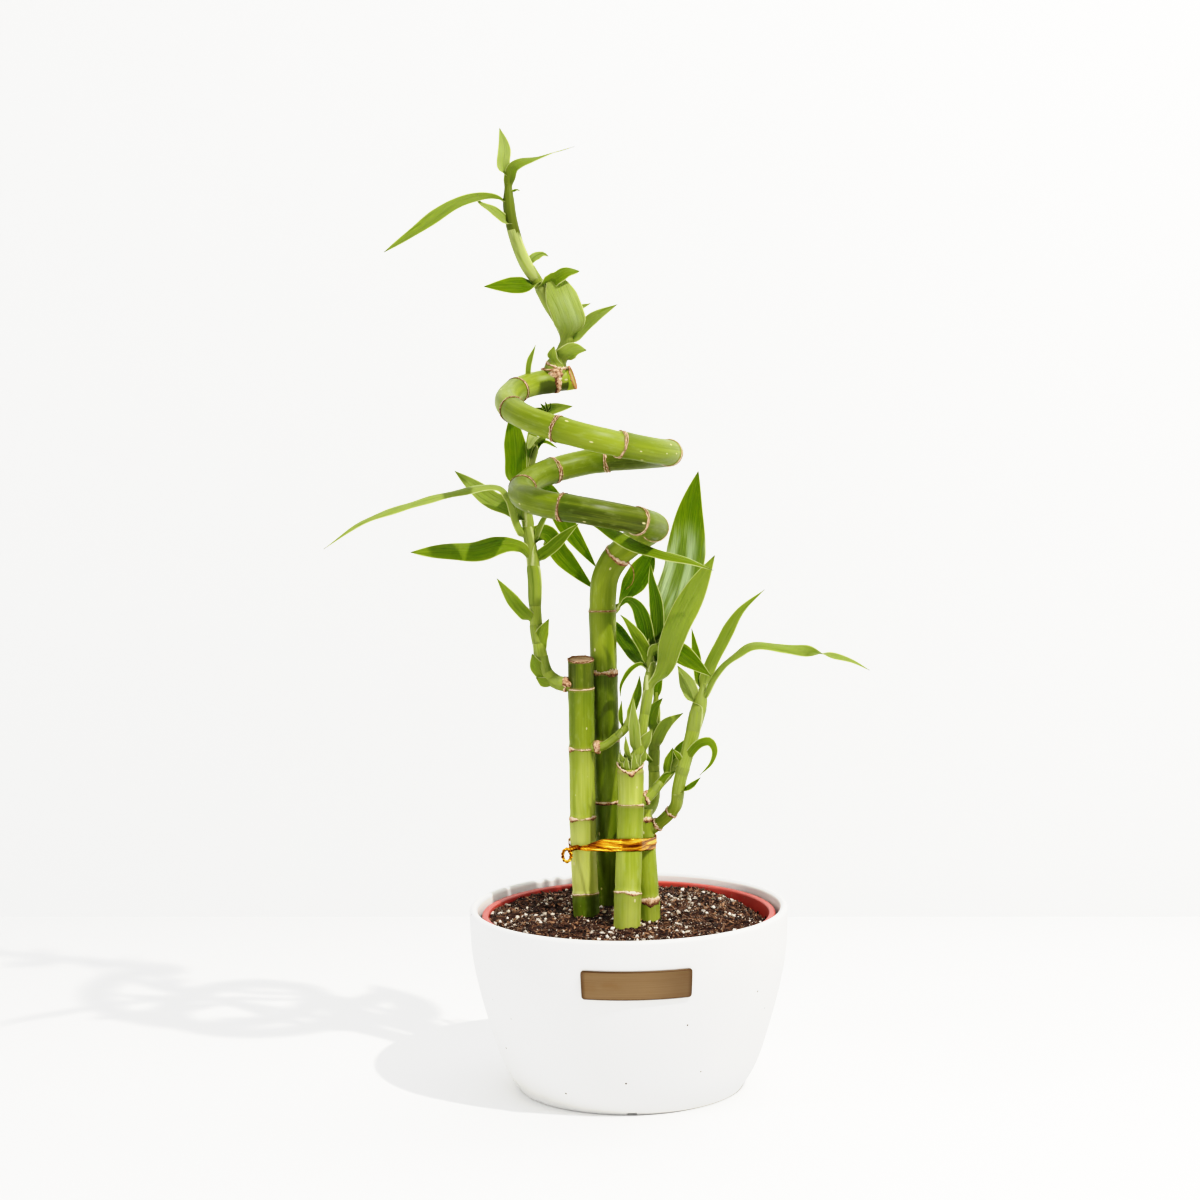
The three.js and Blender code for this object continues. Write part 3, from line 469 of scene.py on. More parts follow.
# %% Stoneware
def speckled_stoneware():
    paint = Paint("speckled_stoneware", Roughness=0.62)
    place = paint.object_place()
    cloud = paint.noise(place, 28, 2)
    streaks = paint.noise(paint.stretched(place, (900, 900, 60)), 1, 3)
    colour = paint.mix(cloud, (0.70, 0.69, 0.665), (0.74, 0.735, 0.715))
    colour = paint.mix(paint.between(streaks, 0.5, 0.85, 0, 0.25), colour, (0.66, 0.65, 0.62))
    specks = paint.spots(place, 120, rare=0.5, core=0.045, edge=0.07)
    colour = paint.mix(specks, colour, (0.12, 0.10, 0.09))
    height = paint.math("MULTIPLY_ADD", streaks, 0.7, paint.noise(place, 1400, 4, 0.6))
    return paint.finish(colour, height=height, depth=0.05)


STONEWARE = speckled_stoneware()

# %% [markdown]
# The planter is a turned shape, so a profile is spun round Z. Its outer wall comes from six points that were
# read off the photograph, and each stretch between them bends with its neighbours.

# %% The planter's outline and turned shapes
PLANTER_OUTLINE = [(49.3, 0), (55.9, 11), (60.9, 25.5), (66.1, 44.5), (69.1, 61), (70, 78.8)]
OUTLINE_DETAIL = 16


def smooth_outline(points):
    """Radius and height along the outline."""
    points = np.array(points, float)
    points = np.vstack([points[:1], points, points[-1:]])
    line = [
        cubic(start, end, (end - before) / 2, (after - start) / 2, OUTLINE_DETAIL)
        for before, start, end, after in zip(points, points[1:], points[2:], points[3:])
    ]
    return np.vstack([*line, points[-1:]])


OUTLINE = smooth_outline(PLANTER_OUTLINE)


def planter_radius(height):
    """The planter's outer radius at a height."""
    return np.interp(height, OUTLINE[:, 1], OUTLINE[:, 0])


def spin(profile, count, material):
    """A turned shape from a profile of radii and heights, with a flat cap at either end."""
    angles = np.linspace(0, 2 * np.pi, count, endpoint=False)
    profile = np.array(profile, float)
    reach, height = profile[:, :1], profile[:, 1:]
    rings = np.stack([reach * np.cos(angles), reach * np.sin(angles), height + 0 * angles], -1)
    return skin(rings, material)


def arc(centre, radius, start, end, count):
    """Points of a round stretch, with angles in degrees from the outward direction."""
    angles = np.radians(np.linspace(start, end, count))
    return [(centre[0] + radius * math.cos(a), centre[1] + radius * math.sin(a)) for a in angles]


print("the foot is", 2 * planter_radius(0), "mm across")

# %% [markdown]
# The profile runs out under the foot, up the outer wall, over the round rim, down the inner wall and in over
# the floor. At the foot and at the floor it turns with a small bevel.

# %% The planter, spun
PLANTER_HEIGHT, PLANTER_WALL, PLANTER_FLOOR = 80.5, 3.4, 4.5
PLANTER_SIDES = 256
FOOT_BEVEL = 1.2
FLOOR_BEVEL_WIDTH, FLOOR_BEVEL_HEIGHT = 3, 4

lip = PLANTER_WALL / 2
rim_height = PLANTER_HEIGHT - lip
outside_heights = np.linspace(FOOT_BEVEL, rim_height, 40)
inside_heights = np.linspace(rim_height, PLANTER_FLOOR + FLOOR_BEVEL_HEIGHT, 30)
floor_radius = planter_radius(PLANTER_FLOOR) - PLANTER_WALL - FLOOR_BEVEL_WIDTH
planter_profile = [
    (10, 0), (30, 0), (planter_radius(0) - FOOT_BEVEL, 0), (planter_radius(0.4), 0.35),
    *((planter_radius(height), height) for height in outside_heights),
    *arc((planter_radius(rim_height) - lip, rim_height), lip, 15, 165, 11),
    *((planter_radius(height) - PLANTER_WALL, height) for height in inside_heights),
    (floor_radius, PLANTER_FLOOR), (10, PLANTER_FLOOR),
]
planter_body = spin(planter_profile, PLANTER_SIDES, STONEWARE)
planter = add_piece("planter_glazed", [planter_body], "stoneware", "planter")

# %% [markdown]
# Three shallow notches are cut into the edge of the foot. Each is a Boolean that takes a box away, and is
# applied at once, so that the piece ends as one plain closed mesh.

# %% Notches under the foot
NOTCHES, NOTCH_WIDTH, NOTCH_DEPTH, NOTCH_HEIGHT = 3, 4, 6, 1.1
BOX_FACES = [(3, 2, 1, 0), (4, 5, 6, 7), (0, 1, 5, 4), (1, 2, 6, 5), (2, 3, 7, 6), (3, 0, 4, 7)]


def plain_mesh(piece):
    """Replaces a piece's mesh with the result of its modifiers, and removes them."""
    graph = bpy.context.evaluated_depsgraph_get()
    result = bpy.data.meshes.new_from_object(piece.evaluated_get(graph))
    piece.modifiers.clear()
    piece.data = result


def cut_away(piece, cutters):
    """Cuts boxes or rods out of a piece, applies the cuts and deletes the cutters."""
    tools = [mesh_object(f"cutter_{number}", *cutter) for number, cutter in enumerate(cutters)]
    for tool in tools:
        cut = piece.modifiers.new("cut", "BOOLEAN")
        cut.object = tool
        cut.operation = "DIFFERENCE"
        cut.solver = "EXACT"
    plain_mesh(piece)
    for tool in tools:
        bpy.data.objects.remove(tool)
    print(f"{piece.name} after {len(tools)} cuts: {len(piece.data.polygons)} faces")


def notch_box(number):
    """A box across the edge of the foot, one of a ring of them."""
    turn = Matrix.Rotation(2 * math.pi * number / NOTCHES, 3, "Z")
    corners = [
        (x * NOTCH_WIDTH / 2, -planter_radius(0) + y * NOTCH_DEPTH / 2, z * NOTCH_HEIGHT)
        for z in (-1, 1) for x, y in SQUARE
    ]
    return [turn @ Vector(corner) for corner in corners], BOX_FACES


cut_away(planter, [notch_box(number) for number in range(NOTCHES)])

# %% [markdown]
# ## Nursery pot
# The plant stands in the red-brown plastic pot that it was grown in. Only its rolled lip and the strip of
# wall above the sunken soil show, but it is spun and drilled whole, in the same way as the planter.

# %% Red moulded plastic
def nursery_plastic():
    paint = Paint("nursery_plastic", Roughness=0.42)
    place = paint.object_place()
    colour = paint.mix(paint.noise(place, 60, 3), (0.36, 0.040, 0.028), (0.50, 0.070, 0.05))
    dusty = paint.times(paint.between(paint.noise(place, 420, 4), 0.6, 0.75), 0.5)
    colour = paint.mix(dusty, colour, (0.30, 0.15, 0.10))
    return paint.finish(colour, height=paint.noise(place, 900, 3), depth=0.03)


NURSERY_PLASTIC = nursery_plastic()

# %% The nursery pot, spun
GAP = 0.3  # between pieces that touch on the real plant
NURSERY_TOP, NURSERY_LIP_HEIGHT, NURSERY_LIP, NURSERY_BODY = 77.4, 2.6, 64.6, 62.9
NURSERY_WALL, NURSERY_FOOT = 1.2, 46
NURSERY_SIDES = 192
LIP_OUTER_ROUND, LIP_INNER_ROUND = 0.8, 0.9

nursery_base = PLANTER_FLOOR + GAP
nursery_step = NURSERY_TOP - NURSERY_LIP_HEIGHT
nursery_inner = NURSERY_BODY - NURSERY_WALL
nursery_profile = [
    (10, nursery_base), (NURSERY_FOOT - 1, nursery_base), (NURSERY_FOOT, nursery_base + 1),
    (NURSERY_BODY, nursery_step), (NURSERY_LIP - 0.4, nursery_step), (NURSERY_LIP, nursery_step + 0.4),
    *arc((NURSERY_LIP - LIP_OUTER_ROUND, NURSERY_TOP - LIP_OUTER_ROUND), LIP_OUTER_ROUND, 0, 90, 5),
    *arc((nursery_inner + LIP_INNER_ROUND, NURSERY_TOP - LIP_INNER_ROUND), LIP_INNER_ROUND, 90, 180, 5),
    (nursery_inner, nursery_step), (NURSERY_FOOT - NURSERY_WALL, nursery_base + NURSERY_WALL),
    (10, nursery_base + NURSERY_WALL),
]
nursery_body = spin(nursery_profile, NURSERY_SIDES, NURSERY_PLASTIC)
nursery = add_piece("nursery_pot_moulded", [nursery_body], "nursery_plastic", "nursery_pot")

# %% Drain holes
DRAIN_HOLES, DRAIN_RADIUS, DRAIN_RING = 5, 4, 30
DRILL_SIDES = 24


def drain_rod(number):
    """A rod through the floor, one of a ring of them."""
    place = 2 * math.pi * number / DRAIN_HOLES
    middle_x, middle_y = DRAIN_RING * math.cos(place), DRAIN_RING * math.sin(place)
    turns = [2 * math.pi * k / DRILL_SIDES for k in range(DRILL_SIDES)]
    circle = [(middle_x + DRAIN_RADIUS * math.cos(a), middle_y + DRAIN_RADIUS * math.sin(a)) for a in turns]
    return loft([[(x, y, height) for x, y in circle] for height in (nursery_base - 3, nursery_base + 4)])


cut_away(nursery, [drain_rod(number) for number in range(DRAIN_HOLES)])

# %% [markdown]
# ## Potting mix
# The soil is dark and crumbly, and has sunk a little beside the right wall. Its body is built ring by ring,
# with lumps from noise of three sizes. The attribute `top` marks what lies open, for the grains.

# %% Dark crumbly soil
def potting_mix():
    paint = Paint("potting_mix", Roughness=0.95, Specular_IOR_Level=0.2)
    place = paint.object_place()
    colour = paint.ramp(
        paint.noise(place, 330, 4),
        (0.3, (0.011, 0.005, 0.004)), (0.5, (0.034, 0.015, 0.010)), (0.72, (0.13, 0.068, 0.042)),
    )
    return paint.finish(colour, height=paint.noise(place, 700, 5, 0.7), depth=0.6)


SOIL = potting_mix()

# %% The soil's body
SOIL_LEVEL, SOIL_MOUND, SOIL_EDGE = 75.6, 2.3, 61.0
SOIL_BOTTOM, SOIL_BOTTOM_RADIUS = 6.3, 44.2
SOIL_HOLLOW = 4.5
SOIL_RINGS, SOIL_SPOKES = 96, 240


def soil_ring(share, angles):
    """One ring of the soil's top, at a share of the way from its middle to its edge."""
    ring = share * SOIL_EDGE * np.stack([np.cos(angles), np.sin(angles), 0 * angles], 1)
    sunk = SOIL_HOLLOW * smooth_step(share, 0.84, 1) * smooth_step(np.cos(angles + 0.1), 0.45, 0.95)
    lumps = 0.8 * rough(ring, 8, 1) + 0.6 * rough(ring, 3.4, 2) + 0.35 * rough(ring, 1.5, 3)
    ring[:, 2] = SOIL_LEVEL + SOIL_MOUND * (1 - share ** 2) - sunk + lumps
    return ring


spokes = np.linspace(0, 2 * np.pi, SOIL_SPOKES, endpoint=False)
rings = [soil_ring(share, spokes) for share in np.linspace(0.004, 1, SOIL_RINGS)]
narrowed = SOIL_BOTTOM_RADIUS / SOIL_EDGE
bottom = rings[-1] * (narrowed, narrowed, 0) + (0, 0, SOIL_BOTTOM)
top = np.repeat([1.0, 0.0], [SOIL_RINGS * SOIL_SPOKES, SOIL_SPOKES])
soil = add_piece("soil_crumbly", [skin([*rings, bottom], SOIL, top=top)], "potting_mix", "soil")

# %% [markdown]
# ## Grains on the soil
# The crumbs, bark chips, white perlite and fibres are real pieces, far too many to place by hand. So a
# Geometry Nodes tree strews them. `Growth` writes such a tree. `grow` runs it and keeps the result as a plain
# mesh, so that a piece needs no modifier any more.

# %% Geometry Nodes in short
class Growth(NodeTree):
    """A Geometry Nodes tree under construction, with named inputs."""

    def __init__(self, name, **sockets):
        self.tree = bpy.data.node_groups.new(name, "GeometryNodeTree")
        for socket, kind in {"Ground": "Geometry", **sockets}.items():
            self.tree.interface.new_socket(socket, in_out="INPUT", socket_type="NodeSocket" + kind)
        self.tree.interface.new_socket("Result", in_out="OUTPUT", socket_type="NodeSocketGeometry")
        self.given = self.node("NodeGroupInput").outputs

    def known(self, name):
        """A number that the ground holds at each point."""
        return self.output("GeometryNodeInputNamedAttribute", {"Name": name}, data_type="FLOAT")

    def store(self, geometry, name, value, **settings):
        """Writes a value to the geometry under a name."""
        inputs = {"Geometry": geometry, "Name": name, "Value": value}
        return self.output("GeometryNodeStoreNamedAttribute", inputs, **settings)

    def close(self, geometry):
        """Ends the tree: plain geometry with smooth faces and the material that was handed in."""
        real = self.output("GeometryNodeRealizeInstances", {0: geometry})
        smooth = self.output("GeometryNodeSetShadeSmooth", {"Geometry": real})
        inputs = {"Geometry": smooth, "Material": self.given["Material"]}
        painted = self.output("GeometryNodeSetMaterial", inputs)
        self.node("NodeGroupOutput", {0: painted})
        print(f"{self.tree.name}: {len(self.tree.nodes)} nodes")
        return self.tree


def grow(tree, name, ground, slot, *nodes, **values):
    """Runs a Geometry Nodes tree on a ground mesh and keeps the result as a plain piece."""
    piece = bpy.data.objects.new(name, ground)
    scene.collection.objects.link(piece)
    modifier = piece.modifiers.new("grow", "NODES")
    modifier.node_group = tree
    keys = {item.name: item.identifier for item in tree.interface.items_tree if item.in_out == "INPUT"}
    for key, value in values.items():
        modifier[keys[key]] = value
    plain_mesh(piece)
    return finish_object(piece, nodes)


print("short ways to grow:", [name for name in vars(Growth) if name[0] != "_"])

# %% [markdown]
# The tree scatters points over the open soil, more where a cloud of noise is bright, so that the grains
# gather in clumps. Every point gets the same grain with its own turn, tilt and size, from fixed seeds. The
# finish picks its tone from a chance that is stored with it.

# %% A tree that strews grains
def clumped(growth, density, clumps):
    """The density, less between the clumps and more inside them."""
    place = growth.output("GeometryNodeInputPosition")
    cloud = growth.node("ShaderNodeTexNoise", {"Vector": place, "Scale": 85.0, "Detail": 2.0}).outputs["Fac"]
    less, more = growth.math("SUBTRACT", 1.0, clumps), growth.math("ADD", 1.0, clumps)
    inputs = {"Value": cloud, "From Min": 0.42, "From Max": 0.6, "To Min": less, "To Max": more}
    return growth.times(density, growth.output("ShaderNodeMapRange", inputs))


def random_number(growth, low, high, seed):
    """A number of its own for each grain."""
    inputs = {2: low, 3: high, "Seed": seed}
    return growth.node("FunctionNodeRandomValue", inputs, data_type="FLOAT").outputs[1]


def random_turn(growth, rotation, tilt):
    """A grain's rotation: lying on the ground, turned any way and tilted up to tilt."""
    most = growth.vector(tilt, tilt, 3.1416)
    least = growth.output("ShaderNodeVectorMath", {0: most, "Scale": -1.0}, operation="SCALE")
    turn = growth.output("FunctionNodeRandomValue", {0: least, 1: most, "Seed": 7}, data_type="FLOAT_VECTOR")
    turned = growth.output("FunctionNodeEulerToRotation", {0: turn})
    return growth.output("FunctionNodeRotateRotation", {0: rotation, 1: turned}, rotation_space="LOCAL")


def strewn_grains():
    """A tree that strews one grain over the ground's top."""
    growth = Growth("strewn grains", Grain="Object", Density="Float", Clumps="Float", Seed="Int",
                    Small="Float", Large="Float", Tilt="Float", Material="Material")
    given = growth.given
    spread = growth.node("GeometryNodeDistributePointsOnFaces", {
        "Mesh": given["Ground"], "Selection": growth.math("GREATER_THAN", growth.known("top"), 0.99),
        "Density": clumped(growth, given["Density"], given["Clumps"]), "Seed": given["Seed"],
    }).outputs
    grain = growth.node("GeometryNodeObjectInfo", {"Object": given["Grain"]}).outputs["Geometry"]
    placed = growth.output("GeometryNodeInstanceOnPoints", {
        "Points": spread["Points"], "Instance": grain,
        "Rotation": random_turn(growth, spread["Rotation"], given["Tilt"]),
        "Scale": random_number(growth, given["Small"], given["Large"], 3),
    })
    chance = random_number(growth, 0.0, 1.0, 11)
    return growth.close(growth.store(placed, "chance", chance, data_type="FLOAT", domain="INSTANCE"))


GRAINS = strewn_grains()

# %% The finishes of the grains
CLINGING_SOIL = (0.07, 0.04, 0.025)


def dust(name, dark, pale, dirt, rare=1.0):
    """A loose grain with soil clinging to it. The higher rare is, the fewer grains are pale."""
    paint = Paint(name, Roughness=0.9)
    place = paint.object_place()
    tone = paint.mix(paint.math("POWER", paint.value("chance"), rare), dark, pale)
    cling = paint.between(paint.noise(place, 500, 3), 0.52, 0.68, 0, dirt)
    return paint.finish(paint.mix(cling, tone, CLINGING_SOIL), height=paint.noise(place, 1500, 3), depth=0.15)


PERLITE = dust("perlite", (0.50, 0.41, 0.31), (0.92, 0.86, 0.77), 0.75)
CRUMBS = dust("pale_crumbs", (0.16, 0.095, 0.058), (0.85, 0.77, 0.64), 0.35, 1.5)
BARK = dust("bark", (0.014, 0.006, 0.004), (0.34, 0.18, 0.10), 0.25, 3.4)
ROOTLET = dust("rootlets", (0.050, 0.022, 0.012), (0.46, 0.28, 0.15), 0.3, 1.8)

# %% [markdown]
# A stone is a small ball that noise has pushed in and out, stretched to its three sizes. A rootlet is a thin
# tube on a crooked line. Each ring's side is the last one's, made square to the line again, so that the tube
# never twists.

# %% The grains' shapes
def lump(size, detail, uneven, seed):
    """A small irregular stone, centred on the origin."""
    ball = bpy.data.meshes.new("ball")
    shape = bmesh.new()
    bmesh.ops.create_icosphere(shape, subdivisions=detail, radius=1)
    shape.to_mesh(ball)
    shape.free()
    vertices = np.array([vertex.co for vertex in ball.vertices])
    faces = [tuple(face.vertices) for face in ball.polygons]
    bpy.data.meshes.remove(ball)
    return vertices * (1 + uneven * rough(vertices, 0.8, seed))[:, None] * size, faces


def tube_rings(line, directions, radii, sides):
    """Rings round a line that don't spin from one to the next."""
    side = np.cross(directions[0], (0.31, 0.2, 1) if abs(directions[0][2]) < 0.9 else (1, 0.2, 0.1))
    turns = np.linspace(0, 2 * np.pi, sides, endpoint=False)[:, None]
    rings = []
    for centre, along, radius in zip(line, directions, radii):
        side = unit(side - along * side.dot(along))
        up = np.cross(along, side)
        rings.append(centre + radius * (np.cos(turns) * side + np.sin(turns) * up))
    return rings


STONE = lump((1, 0.78, 0.58), 2, 1.15, 4)
CRUMB = lump((1, 0.8, 0.7), 1, 0.7, 9)
CHIP = lump((2.0, 0.65, 0.34), 1, 0.5, 5)
line, directions, _ = follow([(-4, 0, 0.2), (-1.5, 0.8, 0.7), (1.2, -0.5, 0.5), (4, 0.6, 0)], 1.2)
THREAD = loft(tube_rings(line, directions, np.full(len(line), 0.11), 4))
print("faces of each grain:", [len(grain[1]) for grain in (STONE, CRUMB, CHIP, THREAD)])

# %% Strewing
STREWN = {  # shape, finish, grains per square metre, clumping, smallest and largest size, tilt
    "perlite_grains": (STONE, PERLITE, 34000.0, 0.95, 0.22, 1.2, 3.0),
    "perlite_dust": (CRUMB, CRUMBS, 400000.0, 0.85, 0.09, 0.36, 3.0),
    "bark_chips": (CHIP, BARK, 330000.0, 0.0, 0.25, 1.05, 0.8),
    "rootlets": (THREAD, ROOTLET, 70000.0, 0.3, 0.25, 0.9, 0.4),
}

for seed, (name, (shape, material, density, clumps, small, large, tilt)) in enumerate(STREWN.items(), 2):
    grain = mesh_object("grain_source", *shape)
    grow(GRAINS, name, soil.data, "potting_mix", Grain=grain, Density=density, Clumps=clumps, Seed=seed,
         Small=small, Large=large, Tilt=tilt, Material=material)
    bpy.data.objects.remove(grain)

# %% [markdown]
# ## Plaque
# A thin plate of antique brass is bent to the planter's wall. Its face is plain and brushed along its length,
# so the noise is drawn out that way. It has clouds of tarnish, and its colour is darker towards the right.
# Painted shade darkens its edge and bevel, which the attribute `worn` marks.

# %% Antique brass
def antique_brass():
    paint = Paint("antique_brass", Metallic=0.85, Roughness=0.45)
    place = paint.object_place()
    brushed = paint.noise(paint.stretched(place, (25, 25, 2600)), 1, 4, 0.6)
    cloud = paint.noise(paint.stretched(place, (60, 60, 140)), 1, 4)
    colour = paint.mix(brushed, (0.12, 0.070, 0.034), (0.26, 0.17, 0.095))
    colour = paint.mix(paint.between(cloud, 0.45, 0.8, 0, 0.5), colour, (0.16, 0.085, 0.035))
    to_the_right = paint.between(paint.split(place)[0], 4 * MM, 26 * MM, 0, 0.5)
    colour = paint.mix(to_the_right, colour, (0.085, 0.055, 0.033))
    # painted shade along the plate's edge and bevel
    colour = paint.mix(paint.value("worn"), colour, (0.075, 0.042, 0.022))
    return paint.finish(colour, paint.between(brushed, 0.2, 0.8, 0.36, 0.52), brushed, 0.02)


BRASS = antique_brass()

# %% [markdown]
# The plate is a skin over nested frames: out over its back, up its edge, over the bevel and in over its face.
# Each frame is drawn flat and then bent to the wall.

# %% The plate, from its back to its face
PLATE = {"width": 47.6, "height": 12.6, "thick": 0.9, "corner": 1.3, "across": 2.5, "up": 61.6}
PLATE_BEND = 70  # the radius round which the flat frames are bent
BEVEL, FACE_INSET = 0.3, 0.7
CORNER_POINTS, EDGE_POINTS = 7, 12


def rounded_frame(width, height, corner):
    """Points round a rectangle with round corners."""
    centres = np.array([(1, 1), (-1, 1), (-1, -1), (1, -1)]) * (width / 2 - corner, height / 2 - corner)
    along = np.linspace(0, 1, EDGE_POINTS + 2)[1:-1, None]
    points = []
    for number, centre in enumerate(centres):
        bend = np.array(arc(centre, corner, 90 * number, 90 * number + 90, CORNER_POINTS))
        points += [bend, bend[-1] + along * (centres[(number + 1) % 4] - centre)]
    return np.vstack(points)


def on_the_wall(flat, lift):
    """Bends flat points round the planter, at a lift above its wall."""
    height = PLATE["up"] + flat[:, 1]
    radius = planter_radius(height) + lift
    angle = -np.pi / 2 + (PLATE["across"] + flat[:, 0]) / PLATE_BEND
    return np.stack([radius * np.cos(angle), radius * np.sin(angle), height], 1)


shares = np.linspace(1, 0.03, 14)
frame_line = rounded_frame(PLATE["width"], PLATE["height"], PLATE["corner"])
face_line = rounded_frame(
    PLATE["width"] - FACE_INSET, PLATE["height"] - FACE_INSET, PLATE["corner"] - BEVEL)
plate_top = GAP + PLATE["thick"]
rings = [on_the_wall(frame_line * share, GAP) for share in shares[::-1]]
rings += [on_the_wall(frame_line, lift) for lift in (GAP + BEVEL, plate_top - BEVEL)]
rings += [on_the_wall(face_line * share, plate_top) for share in shares]
# painted shade: a little at the foot of the edge, most at its top and on the bevel
worn = [0] * len(shares) + [0.2, 0.75, 0.85] + [0] * (len(shares) - 1)
painted_rim_shade_rows = np.repeat(np.array(worn, float), len(frame_line))
add_piece("plaque_bare", [skin(rings, BRASS, worn=painted_rim_shade_rows)], "brass_plate", "plaque")

# %% [markdown]
# ## Canes
# A cane is a tube on its route, from its foot in the soil to its cut end. `nodes` says how far along it its
# rings lie. Every stretch between two rings has its own value in `deep`, from the bottom up: a
# deeper green, and painted shade on the stretches that lie in shadow. 0 is ripe yellow-green, 1 nearly
# black-green. `cut` is how steeply the cut end falls towards the viewer, and is 0 for a cane whose end is
# hidden by a shoot.

# %% Routes of the canes
CANES = {
    "left": {
        "route": [(-18, -7, 24), (-18.5, -6, 76.5), (-19.5, -4, 108), (-19.5, -3, 151), (-19.5, -3, 190.5)],
        "radius": (5.8, 5.6), "nodes": [63, 96.5, 127.5, 153.5], "cut": 0.13,
        "deep": (0.66, 0.0, 0.24, 0.54, 0.84),
    },
    "front": {
        "route": [(-2, -34, 24), (-1, -28, 76.5), (0.5, -20, 111), (1.5, -18, 130.5), (1.5, -17, 145)],
        "radius": (6.1, 5.5), "nodes": [68, 106, 120.5], "cut": 0, "deep": (0.2, 0.27, 0.12, 0.2),
    },
    "right": {
        "route": [(10, -19, 24), (8.5, -15, 76.5), (7, -9, 108.5), (6, -7, 119.5), (6, -6, 125)],
        "radius": (5.4, 5), "nodes": [62.5, 97], "cut": 0, "deep": (0.28, 0.34, 0.3),
    },
    "spiral": {
        "route": [
            (-9, 22, 24), (-9, 16, 77.5), (-8.5, 7, 105.5), (-9, 6, 153), (-9.5, 6.5, 188.5), (-9.5, 8, 215),
            (-8, 9, 225.5), (-3, 9, 234), (4.5, 4, 241), (11, -7, 246), (13, -22, 249.5), (5, -43, 254),
            (-15, -52, 259), (-35, -43, 262), (-43.5, -22, 265), (-36, -1, 270.5), (-13.5, 11, 275.5),
            (11, 2, 278), (20, -21, 280.5), (9.5, -46, 284), (-14.5, -57, 290), (-38.5, -46, 297),
            (-49, -21, 303.5), (-41, 4, 309), (-21, 13, 312),
        ],
        "radius": (6.2, 5.2), "cut": 0.58,
        "nodes": [104, 131, 161, 188, 214, 250, 277, 312, 352, 378, 403.5, 455, 490.5, 518.5, 548, 580, 602],
        "deep": (
            0.56, 0.56, 0.72, 0.46, 0.48, 0.52, 0.66, 0.88, 0.64, 0.6, 0.56, 0.74, 0.5, 0.4, 0.5, 0.48, 0.4,
            0.25,
        ),
    },
}
print("rings on each cane:", {name: len(cane["nodes"]) for name, cane in CANES.items()})

# %% [markdown]
# The fine streaks of the skin have to run with the growth, wherever the cane bends. Object coordinates can't
# do that, so the tube keeps for each vertex where it lies round and along the cane, and the noise is read
# there. Over the green lie a painted shadow under each ring, pale waxy patches with painted sheen, dark
# staining with painted shade low on the spiral's upper end, the brown of the scars and the pale dashes of the
# bark.

# %% The finish of the cane's skin
CANE_GREENS_AND_SHADE = [
    (0.0, (0.44, 0.47, 0.115)), (0.3, (0.225, 0.275, 0.028)),
    (0.6, (0.118, 0.160, 0.006)), (1.0, (0.027, 0.032, 0.001)),
]


def round_and_along(paint, radius):
    """Coordinates in millimetres on a tube: round its axis and along its length."""
    around = paint.values("around")
    return paint.vector(paint.times(around[0], radius), paint.times(around[1], radius), paint.value("along"))


def stain_and_low_shade(paint, bloom_and_sheen):
    """How dark the staining and painted shade are near the spiral's upper end: all of it low down, ragged and
    less higher up.
    """
    height = paint.split(paint.object_place())[2]
    low = paint.between(height, 307.5 * MM, 313.5 * MM, 0.75, -0.5)
    ragged = paint.between(bloom_and_sheen, 0.2, 0.8, -0.35, 0.35)
    stain = paint.value("stain")
    wet = paint.math("MULTIPLY_ADD", stain, 0.75, paint.math("ADD", low, ragged))
    return paint.times(paint.between(wet, 0.6, 0.9, 0, 0.88), stain)


def cane_skin():
    paint = Paint("cane_skin", Specular_IOR_Level=0.2)
    place = round_and_along(paint, 5.6)
    streaks = paint.noise(paint.stretched(place, (2.6, 2.6, 0.03)), 1, 4, 0.6)
    mottle = paint.noise(paint.stretched(place, (0.28, 0.28, 0.022)), 1, 2)
    bloom_and_sheen = paint.noise(paint.stretched(place, (0.55, 0.55, 0.2)), 1, 4)
    # deep: a deeper green, and painted shade on stretches that lie in shadow
    deep = paint.math("ADD", paint.between(mottle, 0.3, 0.7, -0.1, 0.1), paint.value("deep"))
    colour = paint.ramp(deep, *CANE_GREENS_AND_SHADE)
    colour = paint.mix(paint.between(streaks, 0.5, 0.8, 0, 0.3), colour, (0.34, 0.40, 0.03))
    colour = paint.mix(paint.between(streaks, 0.47, 0.25, 0, 0.25), colour, (0.045, 0.07, 0.002))
    # pale waxy patches and painted sheen
    colour = paint.mix(paint.between(bloom_and_sheen, 0.5, 0.75, 0, 0.22), colour, (0.32, 0.38, 0.15))
    # painted shadow under each ring
    colour = paint.mix(paint.times(paint.value("under"), 0.5), colour, (0.05, 0.085, 0.003))
    # dark staining and painted shade on the lower side of the spiral's upper end
    colour = paint.mix(stain_and_low_shade(paint, bloom_and_sheen), colour, (0.035, 0.045, 0.004))
    colour = paint.mix(paint.times(paint.value("scar"), 0.8), colour, (0.26, 0.16, 0.085))
    dashes = paint.spots(paint.stretched(place, (0.24, 0.24, 0.13)), 1, 0.55, 0.07, 0.12, strength=0.85)
    colour = paint.mix(dashes, colour, (0.56, 0.52, 0.26))
    height = paint.math("MULTIPLY_ADD", streaks, 0.6, paint.math("MULTIPLY_ADD", dashes, 1.2, bloom_and_sheen))
    return paint.finish(colour, paint.between(bloom_and_sheen, 0.3, 0.8, 0.36, 0.55), height, 0.12)


CANE_SKIN = cane_skin()

